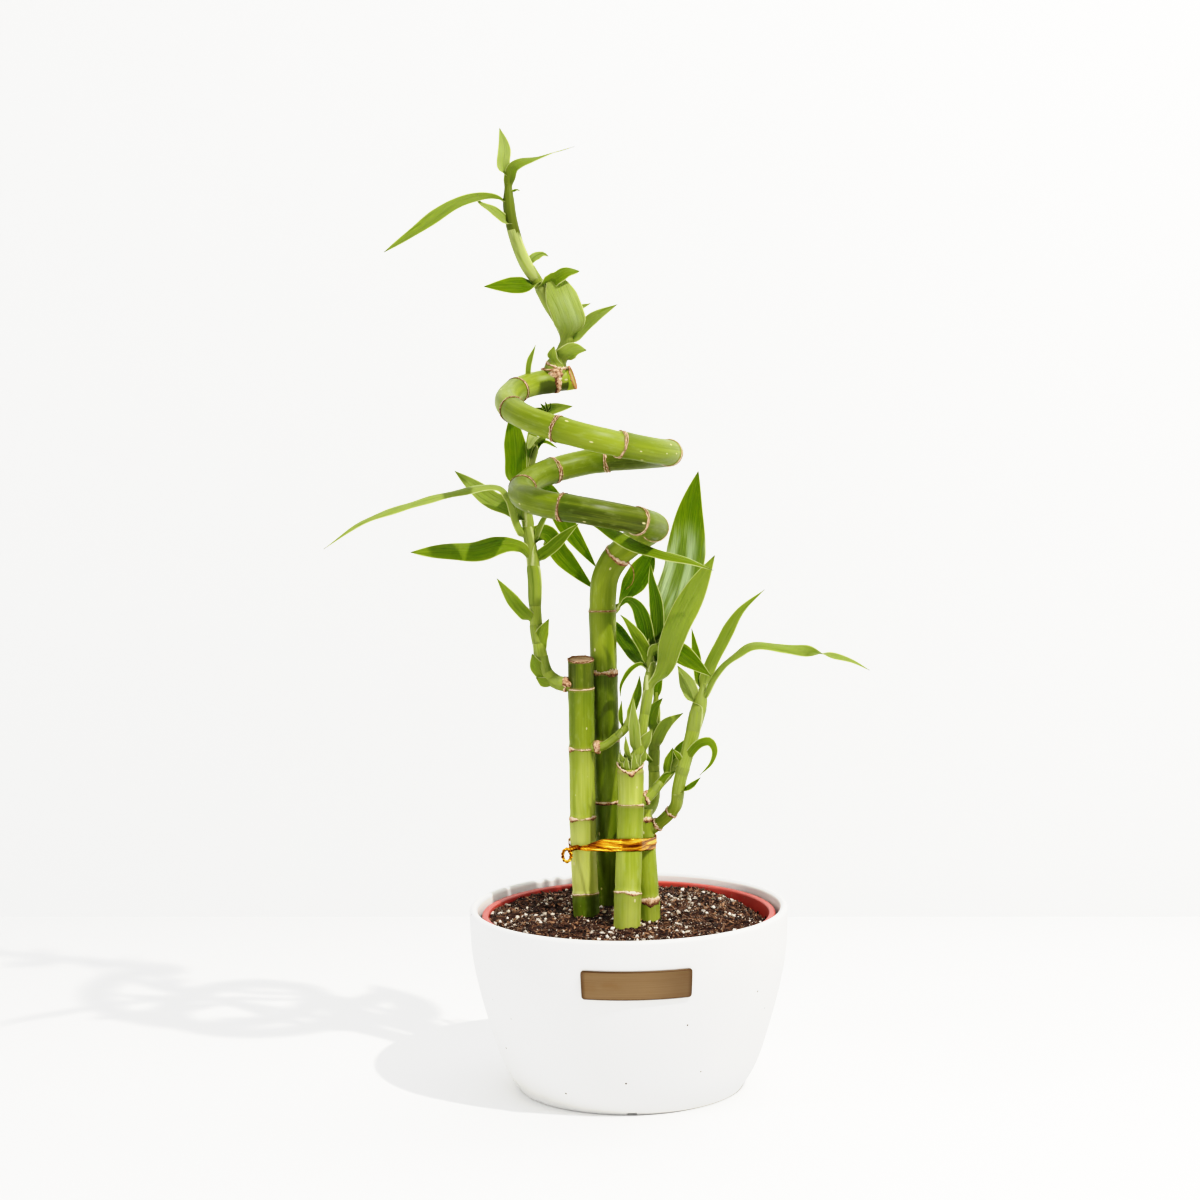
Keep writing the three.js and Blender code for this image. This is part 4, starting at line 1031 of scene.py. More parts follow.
# %% The finishes of dry sheath and of cut wood
DRY_SHEATH = [
    (0.1, (0.060, 0.024, 0.012)), (0.32, (0.20, 0.092, 0.048)), (0.55, (0.47, 0.27, 0.155)),
    (0.85, (0.72, 0.55, 0.40)),
]
DRY_CUT = [
    (0.0, (0.10, 0.13, 0.02)), (0.2, (0.085, 0.030, 0.012)), (0.45, (0.20, 0.10, 0.045)),
    (0.7, (0.50, 0.34, 0.20)), (1.0, (0.30, 0.18, 0.10)),
]
FRESH_CUT = [
    (0.0, (0.24, 0.31, 0.02)), (0.08, (0.30, 0.26, 0.03)), (0.25, (0.34, 0.10, 0.03)),
    (0.5, (0.22, 0.09, 0.03)), (0.7, (0.22, 0.21, 0.04)), (1.0, (0.30, 0.24, 0.07)),
]


def scar_tissue():
    """Dry sheath: torn and pale along its upper edge, dark where it comes out of the cane."""
    paint = Paint("scar_tissue", Roughness=0.85, Specular_IOR_Level=0.25)
    place = paint.object_place()
    ragged = paint.noise(place, 800, 4, 0.7)
    tone = paint.math("MULTIPLY_ADD", paint.value("edge"), 0.6, -0.6)
    colour = paint.ramp(paint.math("MULTIPLY_ADD", ragged, 1.5, tone), *DRY_SHEATH)
    green = paint.between(paint.noise(place, 260, 2), 0.55, 0.72, 0, 0.4)
    return paint.finish(paint.mix(green, colour, (0.20, 0.20, 0.06)), height=ragged, depth=0.4)


def cut_wood():
    """The end grain of a cane, by its depth from the skin to the pith. The attribute fresh keeps it green."""
    paint = Paint("cut_wood", Roughness=0.8, Specular_IOR_Level=0.3)
    depth = paint.value("depth")
    fibres = paint.noise(paint.object_place(), 1300, 4, 0.6)
    dry = paint.mix(paint.between(fibres, 0.45, 0.7, 0, 0.5), paint.ramp(depth, *DRY_CUT), (0.14, 0.08, 0.04))
    colour = paint.mix(paint.value("fresh"), dry, paint.ramp(depth, *FRESH_CUT))
    return paint.finish(colour, height=fibres, depth=0.25)


SCAR, CUT_WOOD = scar_tissue(), cut_wood()

# %% [markdown]
# Geometry Nodes draws the tube: it sweeps a circle along the route, whose own points carry the thickness. A
# curve could be bevelled instead, but here the circle can hand its `around` on to every ring.

# %% The tube
def tube_on_a_route():
    """A tree that sweeps a circle along the ground's line of points."""
    growth = Growth("tube on a route", Sides="Int", Material="Material")
    given = growth.given
    circle = growth.output("GeometryNodeCurvePrimitiveCircle", {"Resolution": given["Sides"], "Radius": 1.0})
    place = growth.output("GeometryNodeInputPosition")
    profile = growth.store(circle, "around", place, data_type="FLOAT_VECTOR")
    route = growth.output("GeometryNodeMeshToCurve", {"Mesh": given["Ground"]})
    sweep = {"Curve": route, "Profile Curve": profile, "Scale": growth.known("thickness"), "Fill Caps": True}
    return growth.close(growth.output("GeometryNodeCurveToMesh", sweep))


TUBE = tube_on_a_route()


def grow_tube(name, line, radii, sides, material, slot, *nodes, **values):
    """A tube through the line's points, each with its own radius and values."""
    ground = bpy.data.meshes.new(name + "_route")
    ground.from_pydata((line * MM).tolist(), [(i, i + 1) for i in range(len(line) - 1)], [])
    for key, data in {"thickness": radii * MM, **values}.items():
        ground.attributes.new(key, "FLOAT", "POINT").data.foreach_set("value", np.asarray(data, np.float32))
    return grow(TUBE, name, ground, slot, *nodes, Sides=sides, Material=material)

# %% Thickness, and depth of green with painted shade, along a cane
def cane_radius(cane, run, length):
    """The radius at each distance: a taper, and at every node a raised ring over a swelling."""
    plain = cane["radius"][0] + (cane["radius"][1] - cane["radius"][0]) * run / length
    away = run[:, None] - np.array(cane["nodes"])
    ring = 0.28 * np.exp(-(away / 0.7) ** 2)
    swelling = 0.22 * np.exp(-((away + 2.6) / 2.6) ** 2)
    waist = -0.14 * np.exp(-((away - 2.2) / 2) ** 2)
    return plain + (ring + swelling + waist).sum(1)


def cane_green_and_shade(cane, run):
    """Green and painted shade at each distance. They change over a millimetre at every node."""
    deep = np.full(len(run), float(cane["deep"][0]))
    for at, below, above in zip(cane["nodes"], cane["deep"], cane["deep"][1:]):
        deep += (above - below) * smooth_step(run, at - 0.5, at + 0.5)
    return deep


print("left cane at 60 and 63 mm:", cane_radius(CANES["left"], np.array([60, 63]), 168).round(2))

# %% [markdown]
# At every node the torn rest of an old leaf's sheath goes round the cane. Painted on, it would look flat from
# the side, so it is a mesh of its own: a thin band with torn edges that peels off a little. It is made in the
# frame of its spot on the cane, where an angle of zero faces the viewer.

# %% Rings of dry sheath
COLLAR_POINTS = 144
COLLAR_SECTION = [  # a share of the way up, a share of the lift, and a shade
    (0, -0.1, 0), (0.05, 0.3, 0), (0.3, 0.8, 0.05), (0.5, 0.7, 0.6), (0.95, 0.9, 1), (1, -0.1, 1),
    (0.5, -0.25, 0.5),
]


def seen_frame(directions):
    """For each direction a side that faces the viewer, so that an angle of zero is the near side."""
    side = np.tile((0.0, -1.0, 0.3), (len(directions), 1))
    side = unit(side - directions * (side * directions).sum(1, keepdims=True))
    return side, np.cross(directions, side)


def spot_on(line, directions, run, at):
    """The place, direction and two sides of a route at a distance."""
    along = unit(read_off(at, run, directions))
    side, other = (axis[0] for axis in seen_frame(along[None]))
    return read_off(at, run, line), along, side, other


def round_spot(turns, side, other):
    """The outward direction at each angle round a spot."""
    return np.cos(turns)[:, None] * side + np.sin(turns)[:, None] * other


def noise_circle(turns):
    """Points on a circle, where noise can be read that closes on itself."""
    return np.stack([np.cos(turns), np.sin(turns), 0 * turns], 1) * 3


def torn_edges(turns, seed, low, high, ragged, tilt, flaps):
    """How far the lower and the upper edge of a collar lie from the node at each angle."""
    circle = noise_circle(turns)
    slant = tilt[0] * np.cos(turns - tilt[1])
    upper = high * (1 + 0.5 * rough(circle, 1.1, seed + 7))
    upper = upper + slant + ragged * (0.9 * rough(circle, 0.35, seed) + 0.5 * rough(circle, 1.4, seed + 1))
    lower = -low * (1 + 0.5 * rough(circle, 1.3, seed + 9))
    lower = lower + slant - ragged * (0.8 * rough(circle, 0.3, seed + 2) + 0.4 * rough(circle, 1.2, seed + 3))
    for angle, spread, up, down in flaps:
        off = np.abs((turns - math.radians(angle) + np.pi) % (2 * np.pi) - np.pi) / math.radians(spread)
        tongue = np.clip(1 - off, 0, 1)
        upper = upper + up * tongue
        lower = lower - down * tongue
    return lower, np.maximum(upper, lower + 0.12)


def collar(spot, radius, seed, low=0.2, high=0.2, ragged=0.35, lift=0.1, tilt=(0.3, 0), flaps=(), tone=0.08):
    """A ragged ring of dry sheath. Each flap is (angle, half angle, up, down) of a torn tongue.

    It reaches low below and high above the node, and stands off by lift. tilt is how far it slants and
    towards which angle. tone makes it paler, or darker where it is below zero."""
    centre, along, side, other = spot
    turns = np.linspace(0, 2 * np.pi, COLLAR_POINTS, endpoint=False)
    lower, upper = torn_edges(turns, seed, low, high, ragged, tilt, flaps)
    peel = lift * (1 + 0.8 * rough(noise_circle(turns), 0.4, seed + 4))
    columns, edge = [], []
    for share, stand, shade in COLLAR_SECTION[::-1]:
        height = lower + (upper - lower) * share
        reach = radius + stand * peel - (0.1 if stand < 0 else 0)
        columns.append(centre + height[:, None] * along + reach[:, None] * round_spot(turns, side, other))
        edge.append(np.full(len(turns), shade + tone))
    return skin(np.stack(columns, 1), SCAR, closed=True, edge=np.stack(edge, 1).ravel())


print("a collar has", COLLAR_POINTS * len(COLLAR_SECTION), "points")

# %% [markdown]
# The cut end of a cane is a drying rim round a sunken pith. It leans towards the viewer, so it starts below
# the cut, on the cane's skin, where the tube stops.

# %% Cut ends
CUT_POINTS = 64
CUT_OVERLAP = 0.6


def cut_depth(lean, radius):
    """How far below its middle a leaning cut reaches."""
    return 0.8 + lean * radius


def cut_end(line, directions, radius, seed, fresh, lean):
    """The cut end of a cane, which may lean towards the viewer."""
    low = cut_depth(lean, radius)
    foot = -low - CUT_OVERLAP
    side, other = (axis[0] for axis in seen_frame(directions[-1:]))
    turns = np.linspace(0, 2 * np.pi, CUT_POINTS, endpoint=False)
    profile = [
        (0, foot, 0), (radius - 0.1, foot, 0), (radius + 0.02, -low, 0),
        (radius + 0.05, -0.5, 0.1), (radius + 0.1, -0.1, 0.25), (radius - 0.25, 0.1, 0.3),
        (radius - 0.7, 0, 0.45), (radius - 0.95, -0.5, 0.6), (radius - 1.6, -0.75, 0.75),
        (radius * 0.45, -0.65, 0.9), (0.3, -0.75, 1),
    ]
    rings, depth = [], []
    for reach, height, share in profile:
        height = np.full(CUT_POINTS, float(height))
        if share > 0:
            height += 0.12 * rough(noise_circle(turns) * (0.5 + reach / 4), 0.7, seed + share)
            height -= lean * reach * np.cos(turns)
        rings.append(line[-1] + height[:, None] * directions[-1] + reach * round_spot(turns, side, other))
        depth += [share] * CUT_POINTS
    rings[0] = line[-1] + foot * directions[-1] + (rings[1] - rings[1].mean(0)) * 0.05
    return skin(rings, CUT_WOOD, depth=np.array(depth, float), fresh=np.full(len(depth), float(fresh)))


print("the spiral's cut reaches down", round(cut_depth(CANES["spiral"]["cut"], 5.2), 2), "mm")

# %% How the rings are torn
COIL_STARTS = 245
RINGS = {
    ("left", 63): {"flaps": [(-40, 30, 0, 0.5)], "tone": 0.4},
    ("left", 96.5): {"flaps": [(-58, 42, 0.9, 1.3), (52, 44, 1.1, 0.9)], "ragged": 0.5},
    ("left", 127.5): {"flaps": [(-66, 36, 0.6, 1.9), (20, 40, 0.1, 0.4)], "ragged": 0.5},
    ("left", 153.5): {"tilt": (0.2, 1), "ragged": 0.25, "tone": 0.5},
    ("front", 120.5): {
        "flaps": [(90, 84, 3.8, -3.8), (-90, 84, 3.8, -3.8), (4, 22, 0, 1.6)],
        "high": 0.5, "low": 0.8, "ragged": 0.7, "tilt": (0, 0), "lift": 0.3,
    },
    ("front", 106): {"flaps": [(60, 26, 0.6, 0.9)]},
    ("front", 68): {"flaps": [(22, 46, 0.3, 1.7), (-50, 30, 0.2, 0.8)], "ragged": 0.5, "tone": 0.5},
    ("right", 62.5): {
        "flaps": [(12, 62, 0.5, 3.4), (58, 24, 0.9, 1.2)], "low": 0.5, "ragged": 0.5, "lift": 0.22,
    },
    ("right", 97): {"flaps": [(30, 60, 0.8, 1.4)], "low": 0.5, "ragged": 0.8, "lift": 0.2},
    ("spiral", 104): {"low": 0.8, "high": 0.6},
    ("spiral", 161): {
        "flaps": [(42, 50, 0.9, 1.2), (-40, 34, 0.2, 0.8)],
        "high": 0.7, "low": 0.7, "ragged": 0.9, "lift": 0.26,
    },
    ("spiral", 188): {"high": 0.25, "low": 0.3, "ragged": 0.25, "tone": -0.1},
    ("spiral", 214): {"flaps": [(40, 50, 0.9, 1.0)], "high": 0.7, "low": 0.6, "ragged": 0.9, "lift": 0.26},
    ("spiral", 602): {"flaps": [(10, 60, 0.8, 0.8)], "high": 0.9, "low": 0.9, "ragged": 0.8, "lift": 0.3},
}


def oblique_cord(spot, radius, seed, cord):
    """One of the two thin cords that cross over a ring of the coil."""
    turn = 1.2 + 2.9 * cord + 0.4 * math.sin(seed)
    return collar(spot, radius, seed + 3.1 * cord, low=0.16, high=0.16, ragged=0.4, lift=0.2,
                  tilt=(0.85, turn), tone=0.3 * cord - 0.2)


def rings_of(name, number, cane, line, directions, run, radii):
    """Every node's ring. On the coil two cords cross over a flat band."""
    parts = []
    for k, at in enumerate(cane["nodes"]):
        spot = spot_on(line, directions, run, at)
        radius = float(np.interp(at, run, radii))
        seed = 5 * number + 1.7 * k
        on_coil = name == "spiral" and at > COIL_STARTS
        plain = {"low": 0.4, "high": 0.35, "ragged": 0.9, "tone": 0} if on_coil else {}
        torn = {"tilt": (0.3, seed), **plain, **RINGS.get((name, at), {})}
        parts.append(collar(spot, radius - 0.02, seed, **torn))
        if on_coil:
            parts += [oblique_cord(spot, radius + 0.02, seed, cord) for cord in (0, 1)]
    return parts


print("rings torn by hand:", len(RINGS))

# %% Growing the four canes
CANE_STEP, CANE_SIDES = 0.8, 48
# the stretch of the spiral with dark staining and painted shade
STAIN_AND_SHADE_RUN = (591, 607)
CANE_APART = 1000  # a jump of `along` that gives each cane its own streaks
TENDRIL = [(1.5, 3.4, 232), (3.6, 2.2, 229.5), (4.2, 1.4, 226), (3.2, 1.2, 222.5), (0.8, 1.6, 220.2)]


def tendril():
    """The dry thread that hangs from the spiral's first bend."""
    thread, heading, _ = follow(TENDRIL, 0.4)
    rings = tube_rings(thread, heading, np.linspace(0.34, 0.12, len(thread)), 6)
    return skin(rings, SCAR, edge=np.full(6 * len(thread), 0.4))


def cut_parts(line, directions, run, radius, number, fresh, lean):
    """The cut end of a cane and the torn skin at its rim."""
    spot = spot_on(line, directions, run, run[-1] - 0.35)
    rim = collar(spot, radius + 0.08, number + 4, low=0.3, high=0.15, ragged=0.7, lift=0.16,
                 tilt=(-lean * radius, 0), tone=-0.25)
    return [cut_end(line, directions, radius, number, fresh, lean), rim]


for number, (name, cane) in enumerate(CANES.items()):
    line, directions, run = follow(cane["route"], CANE_STEP)
    length = run[-1]
    radii = cane_radius(cane, run, length)
    away = run[:, None] - np.array(cane["nodes"])
    lean = cane["cut"]
    kept = run < length - (cut_depth(lean, radii[-1]) if lean else 0)
    stain_and_shade_mask = smooth_step(run, STAIN_AND_SHADE_RUN[0] - 2, STAIN_AND_SHADE_RUN[0] + 2) * (run < STAIN_AND_SHADE_RUN[1]) * (name == "spiral")
    grow_tube(
        f"cane_{name}_skin", line[kept], radii[kept], CANE_SIDES, CANE_SKIN, "cane", f"cane_{name}",
        along=run[kept] + CANE_APART * number,
        deep=cane_green_and_shade(cane, run)[kept],
        stain=stain_and_shade_mask[kept],
        scar=np.exp(-((away - 0.05) / 0.45) ** 2).max(1)[kept],
        under=(np.exp(np.minimum(away, 0) / 7) * (away < 0)).max(1)[kept],
    )
    parts = rings_of(name, number, cane, line, directions, run, radii)
    if lean:
        parts += cut_parts(line, directions, run, radii[-1], number, name == "spiral", lean)
    if name == "spiral":
        parts.append(tendril())
    add_piece(f"cane_{name}_scars", parts, "cane")

# %% [markdown]
# ## Leafy shoots
# A leaf is glossy and grooved along its length. Each vertex knows how far it is across the leaf and along it,
# so the veins are noise that is drawn out that way. A pale rib runs down the middle and a pale margin round
# the edge. `tint` says how pale the leaf is there, how deeply green with painted shade, and how dusky, and on
# glossy leaves a pale sheen is painted in streaks.

# %% The finish of leaves
def drawn_out(paint, across, along, detail, roughness=0.55):
    """Noise over coordinates across and along a leaf."""
    return paint.noise(paint.vector(across, along), 1.0, detail, roughness)


def leaf_green(paint, veins, bands, share, along):
    """The green of a blade, from its patches, its tints, its paler back and its veins."""
    pale, deep, _ = paint.values("tint")
    patches = paint.noise(paint.vector(share, paint.times(along, 0.12)), 1.2, 3)
    colour = paint.mix(patches, (0.050, 0.090, 0.0008), (0.104, 0.142, 0.0015))
    # deep: a deeper green, and painted shade where the leaf lies in shadow
    colour = paint.mix(deep, colour, (0.030, 0.062, 0.0015))
    colour = paint.mix(pale, colour, (0.345, 0.385, 0.140))
    colour = paint.mix(paint.value("underside"), colour, (0.18, 0.235, 0.030))
    colour = paint.mix(paint.between(veins, 0.48, 0.72, 0, 0.45), colour, (0.21, 0.29, 0.008))
    colour = paint.mix(paint.between(veins, 0.45, 0.25, 0, 0.6), colour, (0.028, 0.062, 0.001))
    return paint.mix(paint.between(bands, 0.45, 0.25, 0, 0.5), colour, (0.03, 0.07, 0.001))


def pale_margin(paint, share, across):
    """The pale line round a leaf's edge, as wide on a narrow leaf as on a wide one."""
    outer = paint.math("ABSOLUTE", share)
    inverse = paint.math("DIVIDE", 1.0, paint.math("MAXIMUM", outer, 0.3))
    from_edge = paint.times(paint.math("ABSOLUTE", across), paint.math("SUBTRACT", inverse, 1.0))
    return paint.times(paint.between(from_edge, 0.18, 0.46, 0.8, 0), paint.math("GREATER_THAN", outer, 0.5))


def leaf_blade():
    paint = Paint("leaf_blade", Subsurface_Weight=0.1, Subsurface_Scale=0.002)
    paint.shader.inputs["Subsurface Radius"].default_value = (0.6, 1.0, 0.15)
    share, along, across = paint.values("blade")
    veins = drawn_out(paint, paint.times(across, 3.4), paint.times(along, 0.035), 3, 0.65)
    bands = drawn_out(paint, paint.times(across, 0.8), paint.times(along, 0.05), 3)
    sheen = drawn_out(paint, paint.times(across, 0.24), paint.times(along, 0.028), 2)
    colour = leaf_green(paint, veins, bands, share, along)
    rib = paint.times(paint.between(paint.math("ABSOLUTE", across), 0.08, 0.24, 1, 0), 0.13)
    colour = paint.mix(rib, colour, (0.26, 0.33, 0.08))
    colour = paint.mix(pale_margin(paint, share, across), colour, (0.42, 0.46, 0.19))
    colour = paint.mix(paint.values("tint")[2], colour, (0.050, 0.052, 0.014))
    gloss = paint.value("gloss")
    # glare: a painted highlight, pale sheen streaks on glossy leaves
    glare = paint.times(paint.between(sheen, 0.42, 0.62), paint.between(veins, 0.3, 0.6, 0.5, 1))
    colour = paint.mix(paint.times(paint.times(glare, gloss), 0.55), colour, (0.46, 0.56, 0.33))
    shine = paint.math("MULTIPLY_ADD", gloss, 0.5, 0.07)
    paint.tree.links.new(shine, paint.shader.inputs["Specular IOR Level"])
    height = paint.math("MULTIPLY_ADD", rib, -2.0, paint.math("MULTIPLY_ADD", bands, 1.5, veins))
    return paint.finish(colour, paint.between(bands, 0.3, 0.7, 0.30, 0.45), height, 0.3)


LEAF = leaf_blade()

# %% The finish of stems
def stem_skin():
    """Paler green with fine lines along the stem, on the same coordinates as the canes."""
    paint = Paint(
        "stem_skin", Roughness=0.42, Specular_IOR_Level=0.3, Subsurface_Weight=0.1, Subsurface_Scale=0.002)
    paint.shader.inputs["Subsurface Radius"].default_value = (0.6, 1.0, 0.2)
    place = round_and_along(paint, 2.4)
    lines = paint.noise(paint.stretched(place, (3.2, 3.2, 0.05)), 1, 3, 0.6)
    cloud = paint.noise(paint.stretched(place, (0.3, 0.3, 0.09)), 1, 3)
    colour = paint.mix(cloud, (0.150, 0.200, 0.016), (0.240, 0.290, 0.045))
    colour = paint.mix(paint.between(lines, 0.45, 0.75, 0, 0.5), colour, (0.32, 0.38, 0.08))
    colour = paint.mix(paint.between(lines, 0.45, 0.25, 0, 0.4), colour, (0.09, 0.14, 0.006))
    return paint.finish(colour, height=lines, depth=0.12)


STEM = stem_skin()

# %% [markdown]
# Every leaf has its own route, width and facing, read off the photograph. Copies of one leaf would be less
# work, but no two leaves here are alike. `blade` fills in what a leaf doesn't say about itself.

# %% How a leaf is described
TO_VIEWER, UPWARD = (0, -1, 0.15), (0, -0.6, 0.8)


def blade(route, width, face=TO_VIEWER, tip_face=None, belly=0.42, root=0.35, turn=0, turn_at=0.5,
          blunt=False, wave=0.1, pale=0.0, deep=0.0, dusk=0.0, sheath=None, base=0.45, gloss=0.0):
    """One leaf. belly: where it is widest; root: its share of the width there; turn: degrees it twists.

    pale, deep and dusk tint the blade; deep is a deeper green and painted shade.
    gloss makes it shinier and paints a pale sheen on it. base is how pale its sheath is,
    and sheath is how long."""
    if sheath is None:
        sheath = 3 if width < 4.4 else min(10, 1.3 * width)
    return {"route": route, "width": width, "face": face, "tip_face": tip_face or face, "belly": belly,
            "root": root, "turn": turn, "turn_at": turn_at, "blunt": blunt, "wave": wave, "sheath": sheath,
            "tint": (pale, deep, dusk), "base": base, "gloss": gloss}


print("a leaf is described by", ", ".join(blade([], 1)))

# %% Stems
STEM_STEP, STEM_SIDES = 0.7, 28


def stem_shape(route, start, end, bulb=(0, 6)):
    """A stem's axis. It thins out at its tip, and may swell at its foot by bulb: how much and how far up."""
    line, directions, run = follow(route, STEM_STEP)
    share = run / run[-1]
    radius = (start + (end - start) * share) * (1 - 0.7 * smooth_step(share, 0.84, 1))
    return SimpleNamespace(
        line=line, directions=directions, run=run, radius=radius + bulb[0] * np.exp(-(run / bulb[1]) ** 2))


def stem_part(stem, seed):
    turns = np.linspace(0, 2 * np.pi, STEM_SIDES, endpoint=False)
    uneven = stem.radius * (1 + 0.05 * rough(stem.line, 6, seed))
    around = np.stack([np.cos(turns), np.sin(turns), 0 * turns], 1)
    return skin(
        tube_rings(stem.line, stem.directions, uneven, STEM_SIDES), STEM,
        around=np.tile(around, (len(stem.run), 1)), along=np.repeat(stem.run + 70 * seed, STEM_SIDES))


print("a stem has", STEM_SIDES, "sides")

# %% [markdown]
# A leaf of this plant clasps its stem with a sheath. So its strip starts a little way down the stem, wrapped
# round it, and opens out where the leaf leaves. `clasp` finds the way up the stem.

# %% The sheath's way up the stem
BLADE_STEP = 1.3


def nearest(places, point):
    """The number of the place that is nearest to a point."""
    return np.argmin(np.linalg.norm(places - point, axis=1))


def clasp(leaf, line, stem, inner):
    """Puts the sheath's way before the leaf's line, and says how the stem lies at each point."""
    at = stem.run[nearest(stem.line, line[0])]
    low = max(0.4, at - leaf["sheath"])
    rows = np.linspace(low, at, max(3, round((at - low) / BLADE_STEP)) + 1)[:-1]
    whole = np.vstack([read_off(rows, stem.run, stem.line), line])
    near = np.array([nearest(stem.line, point) for point in whole])
    near[:len(rows)] = [np.argmin(np.abs(stem.run - row)) for row in rows]
    heading = stem.directions[near]
    probe = line[min(len(line) - 1, round(7 / BLADE_STEP))]
    leaving = near[len(rows)]
    out = probe - stem.line[leaving]
    out = out - out.dot(stem.directions[leaving]) * stem.directions[leaving]
    out = unit(out) if np.linalg.norm(out) > 0.4 else np.array((0.0, -1.0, 0.0))
    return whole, SimpleNamespace(
        start=len(rows), centre=stem.line[near], heading=heading, inner=inner,
        out=unit(out - heading * (heading @ out)[:, None]), reach=stem.radius[near] + 0.14 + 0.09 * inner)


print("the sheath is followed in steps of", BLADE_STEP, "mm")

# %% [markdown]
# The blade itself is a thin strip, widest at its belly, hollow along its midrib and pointed at its tip. Its
# face looks out from the stem first, then as the leaf says, and turns about its own line where it twists.

# %% A leaf's width and facing
def half_width(leaf, share):
    """Half the leaf's width at each share of its length."""
    skew = math.log(0.5) / math.log(leaf["belly"])
    swell = np.sin(np.pi * np.minimum(1, share ** skew)).clip(0) ** (0.55 if leaf["blunt"] else 0.85)
    return np.maximum(0.14, leaf["width"] / 2 * np.minimum(1, leaf["root"] * (1 - share) ** 2 + swell))


def leaf_facing(leaf, line, run, share, hold, opening):
    """The directions to the leaf's side and out of its face at each point."""
    along = unit(np.gradient(line, axis=0))
    face = np.array(leaf["face"]) + smooth_step(share, 0, 1) * (np.array(leaf["tip_face"]) - leaf["face"])
    if hold:
        if unit(face[hold.start]).dot(-hold.out[hold.start]) < -0.35:
            face = -face
        up_stem = (along * hold.heading).sum(1, keepdims=True).clip(0.05)
        outward = (along * hold.out).sum(1, keepdims=True).clip(0)
        turned = smooth_step(run, 0, 1.7 * opening)[:, None]
        face = (1 - turned) * (hold.heading * outward - hold.out * up_stem) + turned * unit(face)
    side = unit(np.cross(along, face))
    twist = np.radians(leaf["turn"]) * smooth_step(share, leaf["turn_at"] - 0.12, leaf["turn_at"] + 0.12)
    side = side * np.cos(twist) + np.cross(along, side) * np.sin(twist)
    return side, np.cross(side, along)


# %% A leaf's wrap and tint
def wrap_round(points, leaf, hold, run, opening, u, thick, sign):
    """Bends a leaf's points round its stem: fully on the sheath, and less as the leaf opens."""
    held = 1 - smooth_step(run, 0, opening)[:, None, None]
    spread = np.radians(np.interp(run, [-leaf["sheath"], 0, opening], [160, 118, 70]))[:, None] * u
    reach = hold.reach - (0.3 + 0.09 * hold.inner) * np.exp(-(run - run[0]) / 3.5)
    across = unit(np.cross(hold.heading, -hold.out))
    outward = np.cos(spread)[..., None] * hold.out[:, None] + np.sin(spread)[..., None] * across[:, None]
    wrapped = hold.centre[:, None] + (reach[:, None] - sign * thick / 2)[..., None] * outward
    return (1 - held) * points + held * wrapped


def leaf_tint(leaf, run, share, hold):
    """Paleness, deeper green with painted shade, and duskiness at each point. Its outermost tip is dry and
    dusky.
    """
    pale, deep, dusk = leaf["tint"]
    growing = smooth_step(share, 0, 0.3)
    fading = dusk * (1 - 0.45 * smooth_step(run, -leaf["sheath"], 0)) * (1 - smooth_step(share, 0.02, 0.4))
    return np.stack([
        leaf["base"] + (pale - leaf["base"]) * growing if hold else np.full(len(run), pale),
        deep * growing,
        fading + 0.75 * smooth_step(share, 0.965, 1),
    ], 1)


print("half a leaf of 10 mm is wide at its belly:", half_width(blade([], 10), np.array([0.42])).round(2))

# %% A whole leaf
BLADE_COLUMNS = 17


def blade_part(leaf, seed, stem=None, inner=0):
    """One leaf as a closed thin skin. inner counts the sheaths that lie inside this one's on the stem."""
    line, hold = follow(leaf["route"], BLADE_STEP)[0], None
    if stem:
        line, hold = clasp(leaf, line, stem, inner)
    run = run_of(line)
    run -= run[hold.start if hold else 0]
    share = (run / run[-1]).clip(0)
    t = share[:, None]
    opening = min(max(4.5, 0.9 * leaf["width"]), 0.45 * run[-1])
    side, up = leaf_facing(leaf, line, run, t, hold, opening)
    half = half_width(leaf, t)
    u = np.linspace(-1, 1, BLADE_COLUMNS)
    fold = 0.22 + 0.5 * (1 - smooth_step(t, 0.02, 0.3))
    ripple = np.sin(run[:, None] * 2.2 / (leaf["width"] + 2) + seed + 1.3 * np.sign(u)) * leaf["wave"]
    hollow = half * (fold * np.abs(u) ** 1.35 + ripple * u ** 2 * smooth_step(t, 0.1, 0.4))
    thick = 0.10 + 0.20 * (1 - u ** 2) * (1 - 0.5 * t)
    middle = line[:, None] + (u * half)[..., None] * side[:, None]
    flat = np.stack(np.broadcast_arrays(u[None], run[:, None] + 40 * seed, u * half.clip(1.2)), -1)
    rings, place, underside = [], [], []
    for sign in (1, -1):
        points = middle + (hollow + sign * thick / 2)[..., None] * up[:, None]
        if hold:
            points = wrap_round(points, leaf, hold, run, opening, u, thick, sign)
        rings.append(points[:, ::sign])
        place.append(flat[:, ::sign])
        underside.append(np.full((len(run), len(u)), 0.3 * (sign < 0)))
    # how shiny the leaf is, and where its painted sheen lies along it
    gloss = leaf["gloss"] * smooth_step(share, 0.2, 0.4) * (1 - smooth_step(share, 0.6, 0.78))
    return skin(
        np.concatenate(rings, 1), LEAF,
        blade=np.concatenate(place, 1).reshape(-1, 3),
        tint=np.repeat(leaf_tint(leaf, run, share, hold), 2 * len(u), 0),
        underside=np.concatenate(underside, 1).ravel(), gloss=np.repeat(gloss, 2 * len(u)))


print("a leaf has", 2 * BLADE_COLUMNS, "points round it")

# %% [markdown]
# A shoot breaks out of the cane through a dry scab, which is a lump like the soil's grains. On the front cane
# a crown of short pointed bracts stands round the shoot's foot.

